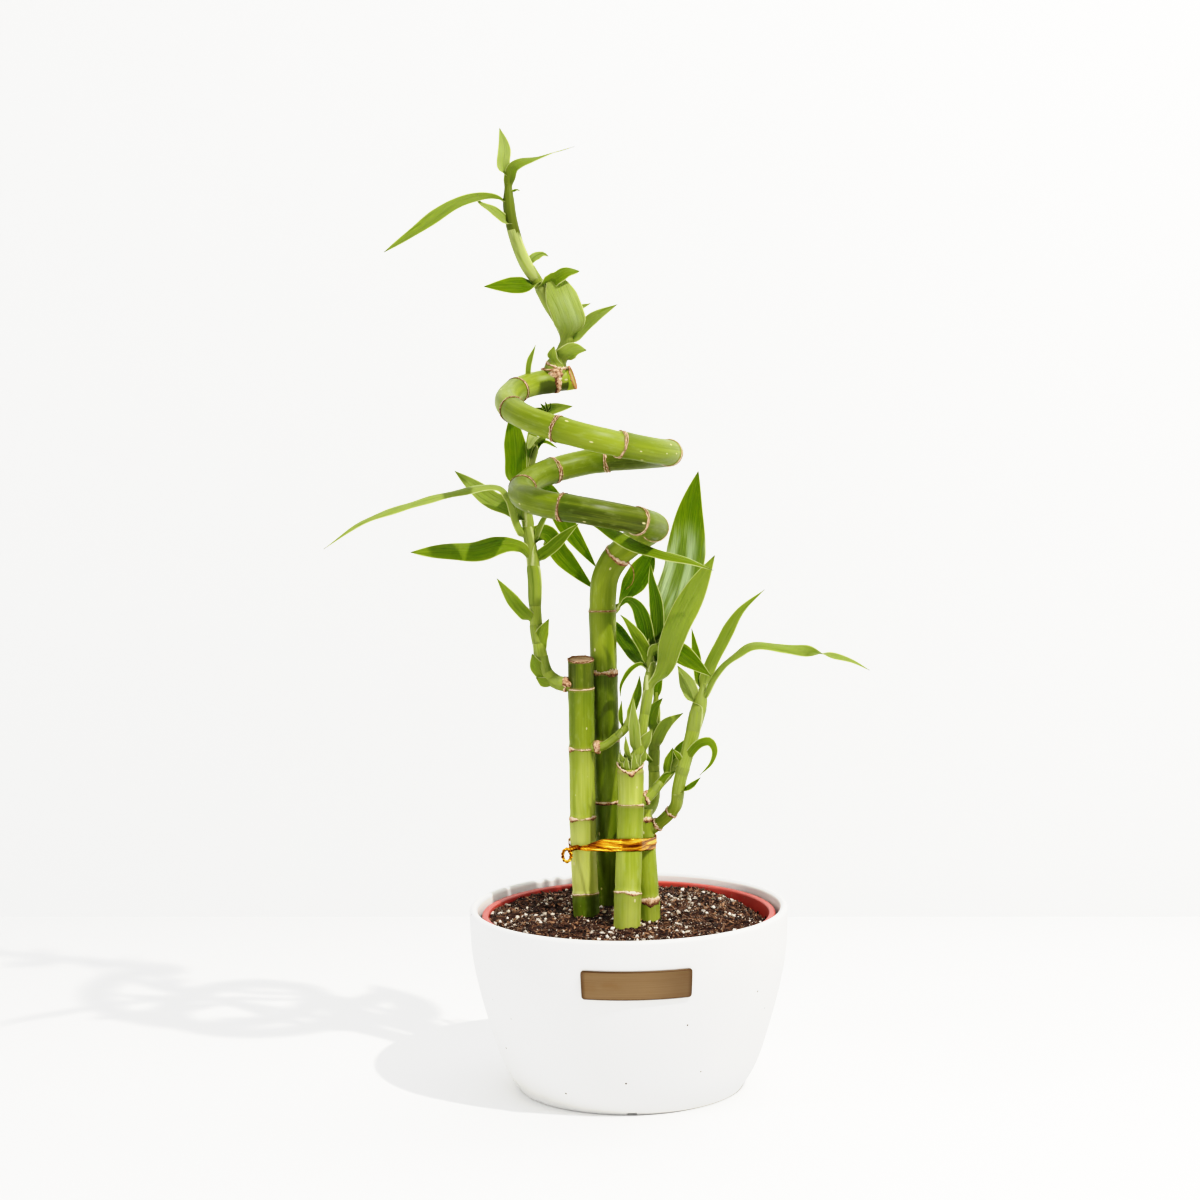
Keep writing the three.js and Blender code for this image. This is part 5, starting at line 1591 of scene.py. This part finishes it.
# %% Scabs and crowns
def scab_part(at, size, seed):
    """A dry crust where a shoot leaves the cane."""
    vertices, faces = lump(np.array(size), 4, 0.38, seed)
    fine = 0.09 * rough(vertices, 0.7, seed + 3)[:, None] * unit(vertices)
    edge = (0.55 + 0.6 * rough(vertices, 1.3, seed + 5)).clip(0, 1)
    return {"vertices": vertices + fine + at, "faces": faces, "material": SCAR, "attributes": {"edge": edge}}


def crown(centre, radius, count, height, width, seed):
    """A ring of short pointed bracts that lean in over the place where a shoot leaves the cane."""
    bracts = []
    for k in range(count):
        turn = 2 * np.pi * (k + 0.3 * math.sin(seed + 2.3 * k)) / count
        out = np.array((math.cos(turn), math.sin(turn), 0.0))
        tall = height * (0.85 + 0.4 * math.sin(seed + 4.1 * k))
        route = [
            centre + out * radius * apart + np.array((0, 0, tall * up))
            for apart, up in ((1, -0.2), (1.1, 0.25), (1.08, 0.65), (0.98, 1))
        ]
        bracts.append(blade(route, width, face=tuple(-out), root=0.95, belly=0.22, pale=0.35, wave=0))
    return bracts


print("a crown of 13:", len(crown(np.zeros(3), 1, 13, 1, 1, 0)), "bracts")

# %% [markdown]
# Each shoot has its leaves and a stem: points, the radius at the foot and at the tip, and a swelling at the
# foot. Scars along the stem and scabs at its foot may follow. One photograph doesn't show how near a leaf is,
# so the leaves are given depths that keep them clear of one another.

# %% The list of shoots
SHOOTS = {}


def add_shoot(name, stem, blades, scars=(), scabs=(), crown=None, bud=()):
    """Keeps the description of a shoot until all of them are grown."""
    SHOOTS[name] = SimpleNamespace(
        stem=stem, blades=blades, scars=scars, scabs=scabs, crown=crown, bud=bud)
    print(f"{name}: {len(blades)} leaves")


print("shoots so far:", len(SHOOTS))

# %% The shoot at the spiral's upper end
leaves = [
    blade([(-49, 2, 396), (-49.5, 2, 404), (-49, 4, 410.5), (-51, 8, 419.5)], 5.8, pale=0.5),
    blade([(-47, 0.5, 393), (-46, -1, 401.5), (-43, -3, 404), (-33, -3, 407), (-19, 3, 411)], 5.2,
          tip_face=(-0.2, 0.3, 1), belly=0.2, root=0.8, pale=0.25, dusk=0.75, sheath=27, base=0.1),
    blade([(-47, 0, 384), (-50.5, -1, 388.5), (-57.5, -5, 390), (-70, -12, 386.5), (-86.5, -20, 375.5),
          (-99.5, -24, 367)], 6.4, face=(0, -0.75, 0.6), belly=0.54, root=0.12, pale=0.2, dusk=0.5, sheath=2,
          base=0.1),
    blade([(-45.5, 0, 376), (-49, -2, 380), (-54.5, -6, 384.5), (-60, -7, 388), (-60.5, -6, 391)], 4.4,
          face=(0.3, -1, 0.4), belly=0.3, root=0.7, pale=0.4, sheath=24, base=0.95),
    blade([(-39.5, 2.5, 359), (-37.5, 6, 363.5), (-33, 9, 365.5), (-31, 9, 364.5)], 4.6, face=(0, -0.9, 0.5),
          pale=0.3),
    blade([(-34, 4, 350.5), (-37, 2, 352), (-43, -1, 352), (-51, -3, 352), (-58.5, -4, 352)], 8,
          face=(0, -1, 0.45), deep=0.1, sheath=12, base=0.8),
    blade([(-24, 8, 326.5), (-21, 2, 332.5), (-22.5, -2, 339), (-25, -2.5, 346), (-29.5, 1, 357)], 14.2,
          belly=0.58, root=0.3, blunt=True, pale=0.55, wave=0.12, gloss=0.3),
    blade([(-33.5, 3.5, 352), (-28.5, -1, 355), (-23, -2, 358), (-17.5, 0, 358)], 6.6, face=(0, -0.75, 0.65),
          blunt=True, deep=0.25),
    blade([(-25, 7.5, 334), (-20, 9, 341), (-13, 11, 344)], 3.4, pale=0.4),
    blade([(-24, 8.5, 325), (-17, 7, 333), (-11.5, 5, 338), (-1.5, 2, 343.5)], 5.4, root=0.6, pale=0.45),
    blade([(-28, 7, 319), (-24.5, 4, 322), (-20, 3, 324.5), (-15, 3, 324)], 7.4, root=0.7, pale=0.4),
    blade([(-28.5, 6.5, 318), (-30, 4, 321), (-29, 3, 326)], 4.6, root=0.7, pale=0.4),
    blade([(-46.8, 0.5, 391.5), (-44, -1, 393), (-42.5, -2, 392.5)], 1.6, face=UPWARD, root=0.6),
]
stem = ([(-29, 10, 314), (-28, 9.3, 318), (-25, 9, 324), (-23.5, 8, 328.5), (-26, 7, 335.5), (-30, 6, 342.5),
        (-35, 4, 352.5), (-40.6, 2, 361.5), (-45, 0, 373.5), (-47.2, 0, 384.5), (-47.5, 2, 400.5)], 2.9, 2.2,
        (2.3, 6))
add_shoot("shoot_top", stem, leaves, scars=(3.4,), scabs=[((-28.8, 9.6, 315.6), (5.9, 5.6, 1.3)),
          ((-28.4, 5.2, 313.6), (3.2, 0.9, 2)), ((-27.6, 5.5, 310.6), (1.1, 0.7, 2.6))])

# %% The long shoot of the left cane, with a tuft of dark bud scales
leaves = [
    blade([(-33, -4, 180.5), (-38.5, -5.5, 187.5), (-40.5, -7, 193.5)], 6.2, root=0.8, pale=0.2),
    blade([(-30, -4, 179.5), (-35, -5.5, 180.5), (-39, -6.5, 183)], 4.6, root=0.8, pale=0.25),
    blade([(-37, -3, 191), (-36.5, -4.5, 200.5), (-33, -6, 208.5)], 6, root=0.8, pale=0.15),
    blade([(-38.5, 0, 205), (-42, -3, 209), (-47, -6, 215), (-55, -11, 227)], 5.8, pale=0.15, wave=0.05),
    blade([(-39.5, 3.5, 229), (-44, 1, 239), (-49, -1, 241), (-54.5, -4, 241), (-63.5, -8, 239),
          (-74.5, -13, 239.5), (-91.5, -18, 239.5)], 9.8, face=(0, -0.85, 0.55), belly=0.56, root=0.12,
          sheath=16, wave=0.14, base=0.3),
    blade([(-39.5, 4, 229), (-37, 3, 234.5), (-31.5, 0, 239), (-25, -2, 245), (-19.5, -4, 249.5)], 5.4),
    blade([(-41, 5.5, 240), (-45.5, 2.5, 249), (-49.5, -3, 261), (-54, -6, 266), (-71.5, -13, 264.5),
          (-91.5, -21, 260), (-111, -28, 253.5), (-127, -34, 243)], 4.4, face=UPWARD, belly=0.5, root=1,
          pale=0.55),
    blade([(-41.5, 7, 246), (-48, 5.5, 255.5), (-56.5, 3, 259.5), (-63, 2, 264.5), (-73, 4, 272.5)], 8,
          belly=0.5, pale=0.35),
    blade([(-43.5, 8.5, 260), (-46.5, 9.5, 267), (-46.5, 10.5, 277), (-47.5, 12.5, 291), (-48, 13.5, 298)],
          9.8, belly=0.5, root=0.4, deep=0.1),
    blade([(-43.5, 9, 262), (-39.5, 12.5, 276), (-36.5, 12.5, 284.5), (-38, 7.5, 286.5), (-41, 5.5, 281)],
          6.4, face=(0, -0.2, 1), belly=0.7, root=0.3, blunt=True, pale=0.7),
    blade([(-43.5, 9.5, 263), (-41, 14, 280.5), (-36.5, 16, 293.5), (-32.5, 16, 297.5), (-21.5, 13, 299.5)],
          5.6, belly=0.72, root=0.4, pale=0.3),
    blade([(-43, 9, 264), (-39, 13.5, 278.5), (-34.5, 13, 284), (-28.5, 12, 281.5)], 3, face=UPWARD,
          belly=0.7),
    blade([(-40.2, 5, 235), (-38, 7, 243), (-34, 9, 244), (-27.5, 13, 234.5), (-19.5, 18, 225),
          (-13, 21, 218)], 8.6, root=0.4),
    blade([(-42.8, 8, 256), (-39.5, 11, 264), (-35, 12.5, 263), (-30, 14, 257), (-24.5, 16, 246.5),
          (-12, 22, 227.5)], 8.8, root=0.4),
    blade([(-40.2, 4.5, 235), (-37.5, 3, 246.5), (-33.5, 0, 253.5), (-25.5, -6, 255.5), (-13, -14, 252.5),
          (-4, -20, 246.5), (4, -24, 242), (15, -28, 238.5), (27, -31, 235.5), (37.5, -33, 231.5)], 6.6,
          face=UPWARD, belly=0.62, root=0.4),
]
bud_scales = [
    blade([(-33.5, 15.8, 297), (-34, 14.5, 299), (-35.5, 13.5, 300.8)], 1.5, root=0.8, deep=0.7, dusk=0.3),
    blade([(-33, 15.8, 297), (-35.5, 14, 298.4), (-38, 13, 299)], 1.4, root=0.8, deep=0.7, dusk=0.3),
    blade([(-32.5, 15.8, 297.5), (-32.8, 14.4, 299.6), (-33.4, 13.6, 301.6)], 1.3, root=0.8, deep=0.7,
          dusk=0.5),
    blade([(-33, 15.8, 297), (-31, 14.6, 299.4), (-31.4, 13.8, 301.2)], 1.2, root=0.8, deep=0.7, dusk=0.5),
]
stem = ([(-22.5, -3, 179), (-27, -3, 179.5), (-31, -3, 181), (-35, -2.5, 185.5), (-37, -2, 193.5),
        (-38.5, -1, 204), (-39, 1, 215), (-39, 3, 225), (-40.5, 5, 238.5), (-41.5, 6.5, 247.5), (-43, 8, 257),
        (-44, 9, 264.5)], 3, 2.4)
add_shoot("shoot_left", stem, leaves, scars=(3.5,), scabs=[((-26, -3.2, 179.6), (2.9, 3.6, 3.1))],
          bud=bud_scales)

# %% The tuft low on the left cane
leaves = [
    blade([(0.8, -10, 164), (4, -8, 172.5), (5.5, -7, 177.5), (6, -6, 183)], 4, root=0.7),
    blade([(-2, -10.5, 159.5), (-2.5, -11, 166.5), (-2, -11, 173)], 2.2, root=0.7),
]
stem = ([(-15.5, -4.5, 151.5), (-13, -6.5, 152), (-9.5, -8, 153), (-4.5, -10, 157), (0, -11, 161.5),
        (1.5, -9, 167)], 2, 1.7, (0.5, 4))
add_shoot("shoot_left_low", stem, leaves, scars=(3.2,), scabs=[((-12.6, -6.8, 152.2), (2, 2.4, 2.8))])

# %% The small shoot at the spiral's first bend
leaves = [
    blade([(-3.5, 13, 211), (1, 15, 215.5), (6, 17, 223.5), (10, 18, 230), (13, 19, 236.5)], 10.8, belly=0.55,
          root=0.25, deep=0.6),
]
stem = ([(-7, 10, 208.5), (-4, 12.5, 210), (-2, 13.5, 212.5)], 1.8, 1.3)
add_shoot("shoot_bend", stem, leaves)

# %% The shoot on the front cane, with its crown
leaves = [
    blade([(1.5, -18.5, 146), (-2, -20.5, 148.5), (-3, -21.5, 152)], 3, root=0.8, pale=0.35),
    blade([(2, -18, 146.5), (0, -20.5, 152.5), (-0.5, -21, 159)], 2.6, root=0.8, pale=0.35),
    blade([(3.5, -17.5, 146.5), (7, -19.5, 149), (8, -20, 153)], 3, root=0.8, pale=0.35),
    blade([(4, -16.5, 149), (3.5, -19, 158.5), (3, -20, 167.5), (3, -20, 176)], 5, root=0.7, belly=0.3,
          pale=0.5),
    blade([(4.6, -16.2, 149.5), (8, -17.5, 156.5), (11, -18, 161.5)], 5, root=0.8, pale=0.4),
    blade([(9.5, -11.5, 176.5), (14, -15, 182.5), (17, -18, 190), (19, -20, 198.5), (23, -21, 209),
          (29.5, -21, 221), (38.5, -23, 237)], 11.8, face=(-0.35, -1, 0.1), belly=0.54, root=0.12, pale=0.28,
          wave=0.14),
    blade([(11, -9, 190), (14, -4, 198.5), (19, 2, 208.5), (23, 6, 219), (26.5, 9, 229.5), (29.5, 12, 253.5),
          (33, 11, 270.5)], 17.4, face=(-0.1, -1, 0.1), belly=0.5, root=0.2, deep=0.12, wave=0.12, gloss=1),
    blade([(11, -9, 191), (13, -5, 197.5), (14, -2, 206), (13.5, 1, 215), (12, 3, 223.5), (11.5, 4, 231)],
          6.2, root=0.5, deep=0.65),
    blade([(10.8, -10.2, 184.5), (10, -10, 191), (7.5, -9.5, 197), (0.5, -7.5, 207.5), (-2, -7, 210)], 5.4,
          deep=0.1),
    blade([(10.5, -10.4, 183), (9, -7, 187), (4.5, 0, 191), (0.5, 9, 195.5), (-4, 17, 200.5),
          (-9.5, 21, 203.5), (-13.5, 22, 199), (-15, 22, 189)], 6.2, belly=0.5, root=0.4, deep=0.4),
    blade([(11, -9, 190.5), (9.5, -5.5, 198), (8, -4.5, 206.5), (5, -3.5, 213.5), (1, -3, 216),
          (-2.5, -2, 212.5)], 7, deep=0.7),
    blade([(10.6, -10.4, 184), (7, -9.5, 188.5), (3, -9.5, 187), (-2, -8.5, 179.5), (-2.5, -8.5, 174.5)], 2.6,
          face=UPWARD),
    blade([(11, -10, 185.5), (16, -10, 192.5), (22, -13, 194.5), (27.5, -15, 191), (36.5, -20, 184.5)], 9,
          deep=0.2),
    blade([(11, -9.5, 190.5), (12.5, -12.5, 196), (14.5, -14, 198)], 4.6, root=0.8, pale=0.3),
]
stem = ([(2, -17, 143), (3, -16.5, 146.5), (4.5, -16, 149), (6.5, -14.5, 158.5), (7.5, -13.5, 165.5),
        (9, -12, 174), (10, -11, 180.5), (11, -10, 186), (11, -9, 192.5), (11.5, -8, 197)], 2.6, 1.6,
        (2.1, 7))
add_shoot("shoot_front", stem, leaves, scabs=[((2, -17, 145.4), (4.2, 4.2, 1.4))], crown=((1.7, -17, 145.0),
          4.7, 13, 6.6, 2.7))

# %% The side tuft of the front cane
leaves = [
    blade([(16.5, -12.8, 139.2), (17.5, -12, 145), (20, -10, 152)], 3.6, root=0.8),
    blade([(19, -10, 142), (22, -6, 147), (24, -3, 150.5), (27.5, 0, 155)], 5.4, root=0.7),
    blade([(13, -16, 136), (17, -16.5, 141), (21, -15, 142.5)], 3.4, face=UPWARD, root=0.8),
]
stem = ([(4.5, -18, 130), (9, -17.5, 132), (13.5, -15.5, 136.5), (17.5, -12, 140), (20.5, -8, 143.5),
        (23.5, -4, 148)], 2.4, 1.6, (0.6, 4))
add_shoot("shoot_front_side", stem, leaves, scars=(3.4,), scabs=[((8.2, -17.6, 131.6), (2, 2.8, 2.8))])

# %% The broad leaves behind the canes
leaves = [
    blade([(12.5, 3.5, 156.5), (10.5, -0.5, 162), (12.5, -3, 168.5), (16, -2, 172.5)], 6.2, root=0.5,
          pale=0.1),
    blade([(12, 3, 148), (14, -0.5, 155), (17.5, -1.5, 161), (25, 0, 165.5)], 5.4, root=0.8, pale=0.45),
    blade([(13.5, 5, 170), (14.5, 6, 179.5), (15, 6, 189)], 3.8, root=0.9),
    blade([(11.8, 3, 142), (9, 0, 146), (8, -0.5, 149.5)], 2.4, root=0.8),
]
stem = ([(7.5, -3, 122), (10, 0, 123.5), (11.5, 2, 126.5), (12, 3, 133), (12, 3.5, 144.5), (12.5, 4, 155.5),
        (13, 4.5, 165.5), (13.5, 5, 174)], 2.8, 2.2)
add_shoot("shoot_back", stem, leaves)

# %% The shoot of the right cane
leaves = [
    blade([(22.5, -18, 133), (27.5, -20.5, 137), (31.5, -23, 141)], 2.6, root=0.8),
    blade([(24, -18.5, 144.5), (28, -22, 152.5), (32, -25, 156.5), (35.5, -26, 157), (37.5, -27, 153.5),
          (36, -27, 148), (31, -26, 142.5)], 3.9, belly=0.25, root=0.8),
    blade([(24, -18.5, 144.5), (22.5, -20.5, 149.5), (19.5, -22, 153.5)], 2.6, root=0.8),
    blade([(33, -10.5, 177.5), (37, -10.5, 188.5), (41, -11.5, 196.5), (49.5, -13.5, 211.5), (60, -15, 221)],
          5.6, belly=0.3, root=0.8, pale=0.25, sheath=12),
    blade([(31.5, -12.5, 170), (35, -14.5, 177.5), (37.5, -16, 183), (41.5, -18, 188.5), (47, -21, 193.5),
          (54, -24, 198), (68, -29, 197.5), (81.5, -33, 195.5), (95, -36, 192.5), (103, -37, 188.5)], 5.2,
          face=UPWARD, belly=0.6, root=0.5, turn=180, turn_at=0.72, pale=0.4, sheath=10),
    blade([(32.5, -10.5, 175), (31, -5.5, 189), (30, -3, 196.5), (29, -2, 203)], 4.2),
    blade([(30.5, -13.5, 167.5), (28, -12, 176.5), (24, -8.5, 185), (22.5, -7.5, 187.5)], 7, root=0.7,
          pale=0.5),
]
stem = ([(9.5, -8, 116), (13, -9, 118), (17.5, -12, 122.5), (21, -15, 127.5), (22, -17.5, 135),
        (23.5, -18.5, 142), (27, -17.5, 154), (29.5, -15, 163), (32, -12, 172), (34, -9.5, 181)], 2.5, 3.3,
        (0.6, 4))
add_shoot("shoot_right", stem, leaves, scars=(4, 13.5), scabs=[((12.2, -8.8, 117.5), (2.2, 2.8, 2.8))])

# %% [markdown]
# Where leaves grow close together, their sheaths lie one round another like the layers of a leek. A higher
# leaf's sheath is the inner one, so each leaf counts the sheaths inside its own before it is built.

# %% Growing the shoots
def sheaths_inside(leaves, stem):
    """For each leaf, how many sheaths of higher leaves lie inside its own."""
    roots = [stem.run[nearest(stem.line, leaf["route"][0])] for leaf in leaves]
    return [
        sum((other > root or (other == root and j > k)) and other - leaves[j]["sheath"] < root
            for j, other in enumerate(roots) if j != k)
        for k, root in enumerate(roots)
    ]


def shoot_parts(shoot, number):
    """The stem of a shoot, its leaves with their sheaths, and the scabs and bracts at its foot."""
    stem = stem_shape(*shoot.stem)
    parts = [stem_part(stem, number)]
    inside = sheaths_inside(shoot.blades, stem)
    for k, (leaf, inner) in enumerate(zip(shoot.blades, inside)):
        parts.append(blade_part(leaf, 10 * number + k, stem, inner))
    for k, (at, size) in enumerate(shoot.scabs):
        parts.append(scab_part(at, size, number + 2 + k))
    for at in shoot.scars:
        spot = spot_on(stem.line, stem.directions, stem.run, at)
        reach = float(np.interp(at, stem.run, stem.radius)) + 0.1
        parts.append(collar(spot, reach, 3 * number + at, low=0.6, high=0.6, ragged=0.9, lift=0.4))
    if shoot.crown:
        parts += [blade_part(bract, 50 + k) for k, bract in enumerate(crown(*shoot.crown, number))]
    return parts + [blade_part(scale, 70 + k) for k, scale in enumerate(shoot.bud)]


for number, (name, shoot) in enumerate(SHOOTS.items()):
    add_piece(f"{name}_leaves", shoot_parts(shoot, number), "leaf", name)

# %% The dry bract at the spiral's upper end
dry_bract = blade([(-40.5, 4, 310), (-40, 4, 318.5), (-37, 5, 326.5)], 2.6, root=0.8, pale=0.2, dusk=0.5)
add_piece("cane_spiral_bract", [blade_part(dry_bract, 80)], "leaf")

# %% [markdown]
# ## Foil tie
# A strip of gold foil is drawn tight round the four canes and twisted shut into a small wire loop. Its look
# is all in its creases, which run round the band, because it is gathered. Painted shade and dark painted
# reflections lie in their hollows.

# %% Crumpled foil
# the darker stops are painted shade and reflection in the crease hollows, the paler ones the gold
FOIL_GOLD_AND_PAINTED_SHADE = [
    (0.36, (0.075, 0.022, 0.002)), (0.48, (0.34, 0.12, 0.007)), (0.58, (0.80, 0.41, 0.040)),
    (0.7, (1.0, 0.72, 0.22)),
]


def gold_foil():
    paint = Paint("gold_foil", Metallic=1.0)
    creases = paint.noise(paint.stretched(paint.object_place(), (40, 40, 620)), 1, 4, 0.65)
    colour = paint.ramp(creases, *FOIL_GOLD_AND_PAINTED_SHADE)
    return paint.finish(colour, paint.between(creases, 0.3, 0.7, 0.16, 0.32), creases, 0.3)


FOIL = gold_foil()

# %% [markdown]
# A string that is pulled round circles follows their hull, so the band does too. In each direction, the
# circle that reaches farthest out carries the string.

# %% A string round the canes
TIE_HEIGHT, TIE_STAND_OFF = 110.4, 0.4
STRING_DIRECTIONS, STRING_STEP = 900, 0.45


def cane_circle(cane):
    """Where a cane passes the tie, and how far out the foil lies on it."""
    line, _, run = follow(cane["route"], CANE_STEP)
    at = run[np.argmax(line[:, 2] > TIE_HEIGHT)]
    radius = float(cane_radius(cane, np.array([at]), run[-1])[0])
    return read_off(at, run, line[:, :2]), radius + TIE_STAND_OFF


def string_round(circles):
    """The line of a string pulled tight round circles, in even steps."""
    turns = np.linspace(0, 2 * np.pi, STRING_DIRECTIONS, endpoint=False)
    out = np.stack([np.cos(turns), np.sin(turns)], 1)
    reach = np.stack([out @ centre + radius for centre, radius in circles])
    line = np.array([circles[c][0] + circles[c][1] * o for c, o in zip(reach.argmax(0), out)])
    line = np.vstack([line, line[:1]])
    run = run_of(line)
    even = np.linspace(0, run[-1], round(run[-1] / STRING_STEP), endpoint=False)
    return read_off(even, run, line)


string = string_round([cane_circle(cane) for cane in CANES.values()])
print("the string has", len(string), "points")

# %% [markdown]
# The band is wide at the right and pinched at the left, where it meets the twist. In front it sags and climbs
# as in the photograph, and its creases are real: every level of it stands off by noise of its own.

# %% The band
BAND_LEVELS = 13
SAG_AT, SAG = (-24, -18, -12, -2, 4, 8, 13), (-2.4, -1.6, 0.4, 2.1, 2.0, 0.7, -1.0)

outward = np.stack([np.gradient(string[:, 1]), -np.gradient(string[:, 0])], 1)
outward = unit(outward * np.sign((outward * (string - string.mean(0))).sum(1, keepdims=True)))
wide = smooth_step(string[:, 0], -23, -9)
half = 0.7 + 2.1 * wide
middle = TIE_HEIGHT + np.interp(string[:, 0], SAG_AT, SAG) * smooth_step(outward[:, 1], 0.2, -0.5)


def band_level(level):
    """The band's points at a level from -1, its lower edge, to 1, its upper edge."""
    flat = np.column_stack([string * 0.06, np.full(len(string), level * 2.4)])
    crease = 0.8 * rough(flat, 0.9, 3) + 0.25 * rough(flat, 0.4, 8)
    reach = (0.3 + crease * (0.4 + 0.2 * wide)).clip(0.06)
    edge = 0.25 * rough(np.column_stack([string, np.full(len(string), level)]), 6, 5)
    return np.column_stack([string + outward * reach[:, None], middle + level * half + edge])


columns = [band_level(level) for level in np.linspace(-1, 1, BAND_LEVELS)]
columns += [np.column_stack([string, middle + level * half * 0.97]) for level in (1, -1)]
band = skin(np.stack(columns, 1), FOIL, closed=True)
print("the band is", round(2 * half.min(), 1), "to", round(2 * half.max(), 1), "mm wide")

# %% The twist and the wire loop
TWIST = [(-21.6, -10.2, 108.6), (-24, -11, 108.3), (-26, -11.4, 107.4)]
TWIST_STRANDS, TWIST_PITCH, TWIST_RADIUS = 3, 1.9, 0.62
LOOP_MIDDLE, LOOP_RADII = (-26.7, -11.9, 105.4), (1.8, 0, 2.8)
LOOP_STRANDS, LOOP_TURNS, LOOP_APART, LOOP_RADIUS = 2, 5, 0.36, 0.46
FOIL_STEP = 0.25


def wound(line, directions, turn, apart):
    """The line of a strand that winds round another line."""
    side, other = seen_frame(directions)
    return line + apart * (np.cos(turn)[:, None] * side + np.sin(turn)[:, None] * other)


strands = []
line, directions, run = follow(TWIST, FOIL_STEP)
for number in range(TWIST_STRANDS):
    strand = wound(line, directions, run * TWIST_PITCH + number * 2 * np.pi / TWIST_STRANDS, TWIST_RADIUS)
    heading = unit(np.gradient(strand, axis=0))
    strands.append(skin(tube_rings(strand, heading, np.full(len(strand), TWIST_RADIUS), 12), FOIL))
loop_angles = np.linspace(0, 2 * np.pi, 8, endpoint=False)
circle = np.stack([np.cos(loop_angles), 0 * loop_angles, np.sin(loop_angles)], 1)
line, directions, run = follow(LOOP_MIDDLE + circle * LOOP_RADII, FOIL_STEP, closed=True)
for number in range(LOOP_STRANDS):
    turn = run / run[-1] * 2 * np.pi * LOOP_TURNS + number * np.pi
    strand = wound(line, directions, turn, LOOP_APART)
    heading = unit(np.roll(strand, -1, 0) - np.roll(strand, 1, 0))
    rings = tube_rings(strand, heading, np.full(len(strand), LOOP_RADIUS), 10)
    strands.append(skin(rings[:-1], FOIL, closed=True))
add_piece("tie_foil", [band, *strands], "gold_foil", "tie")

# %% [markdown]
# ## Close
# The finished model may stand only a little outside the packed one.
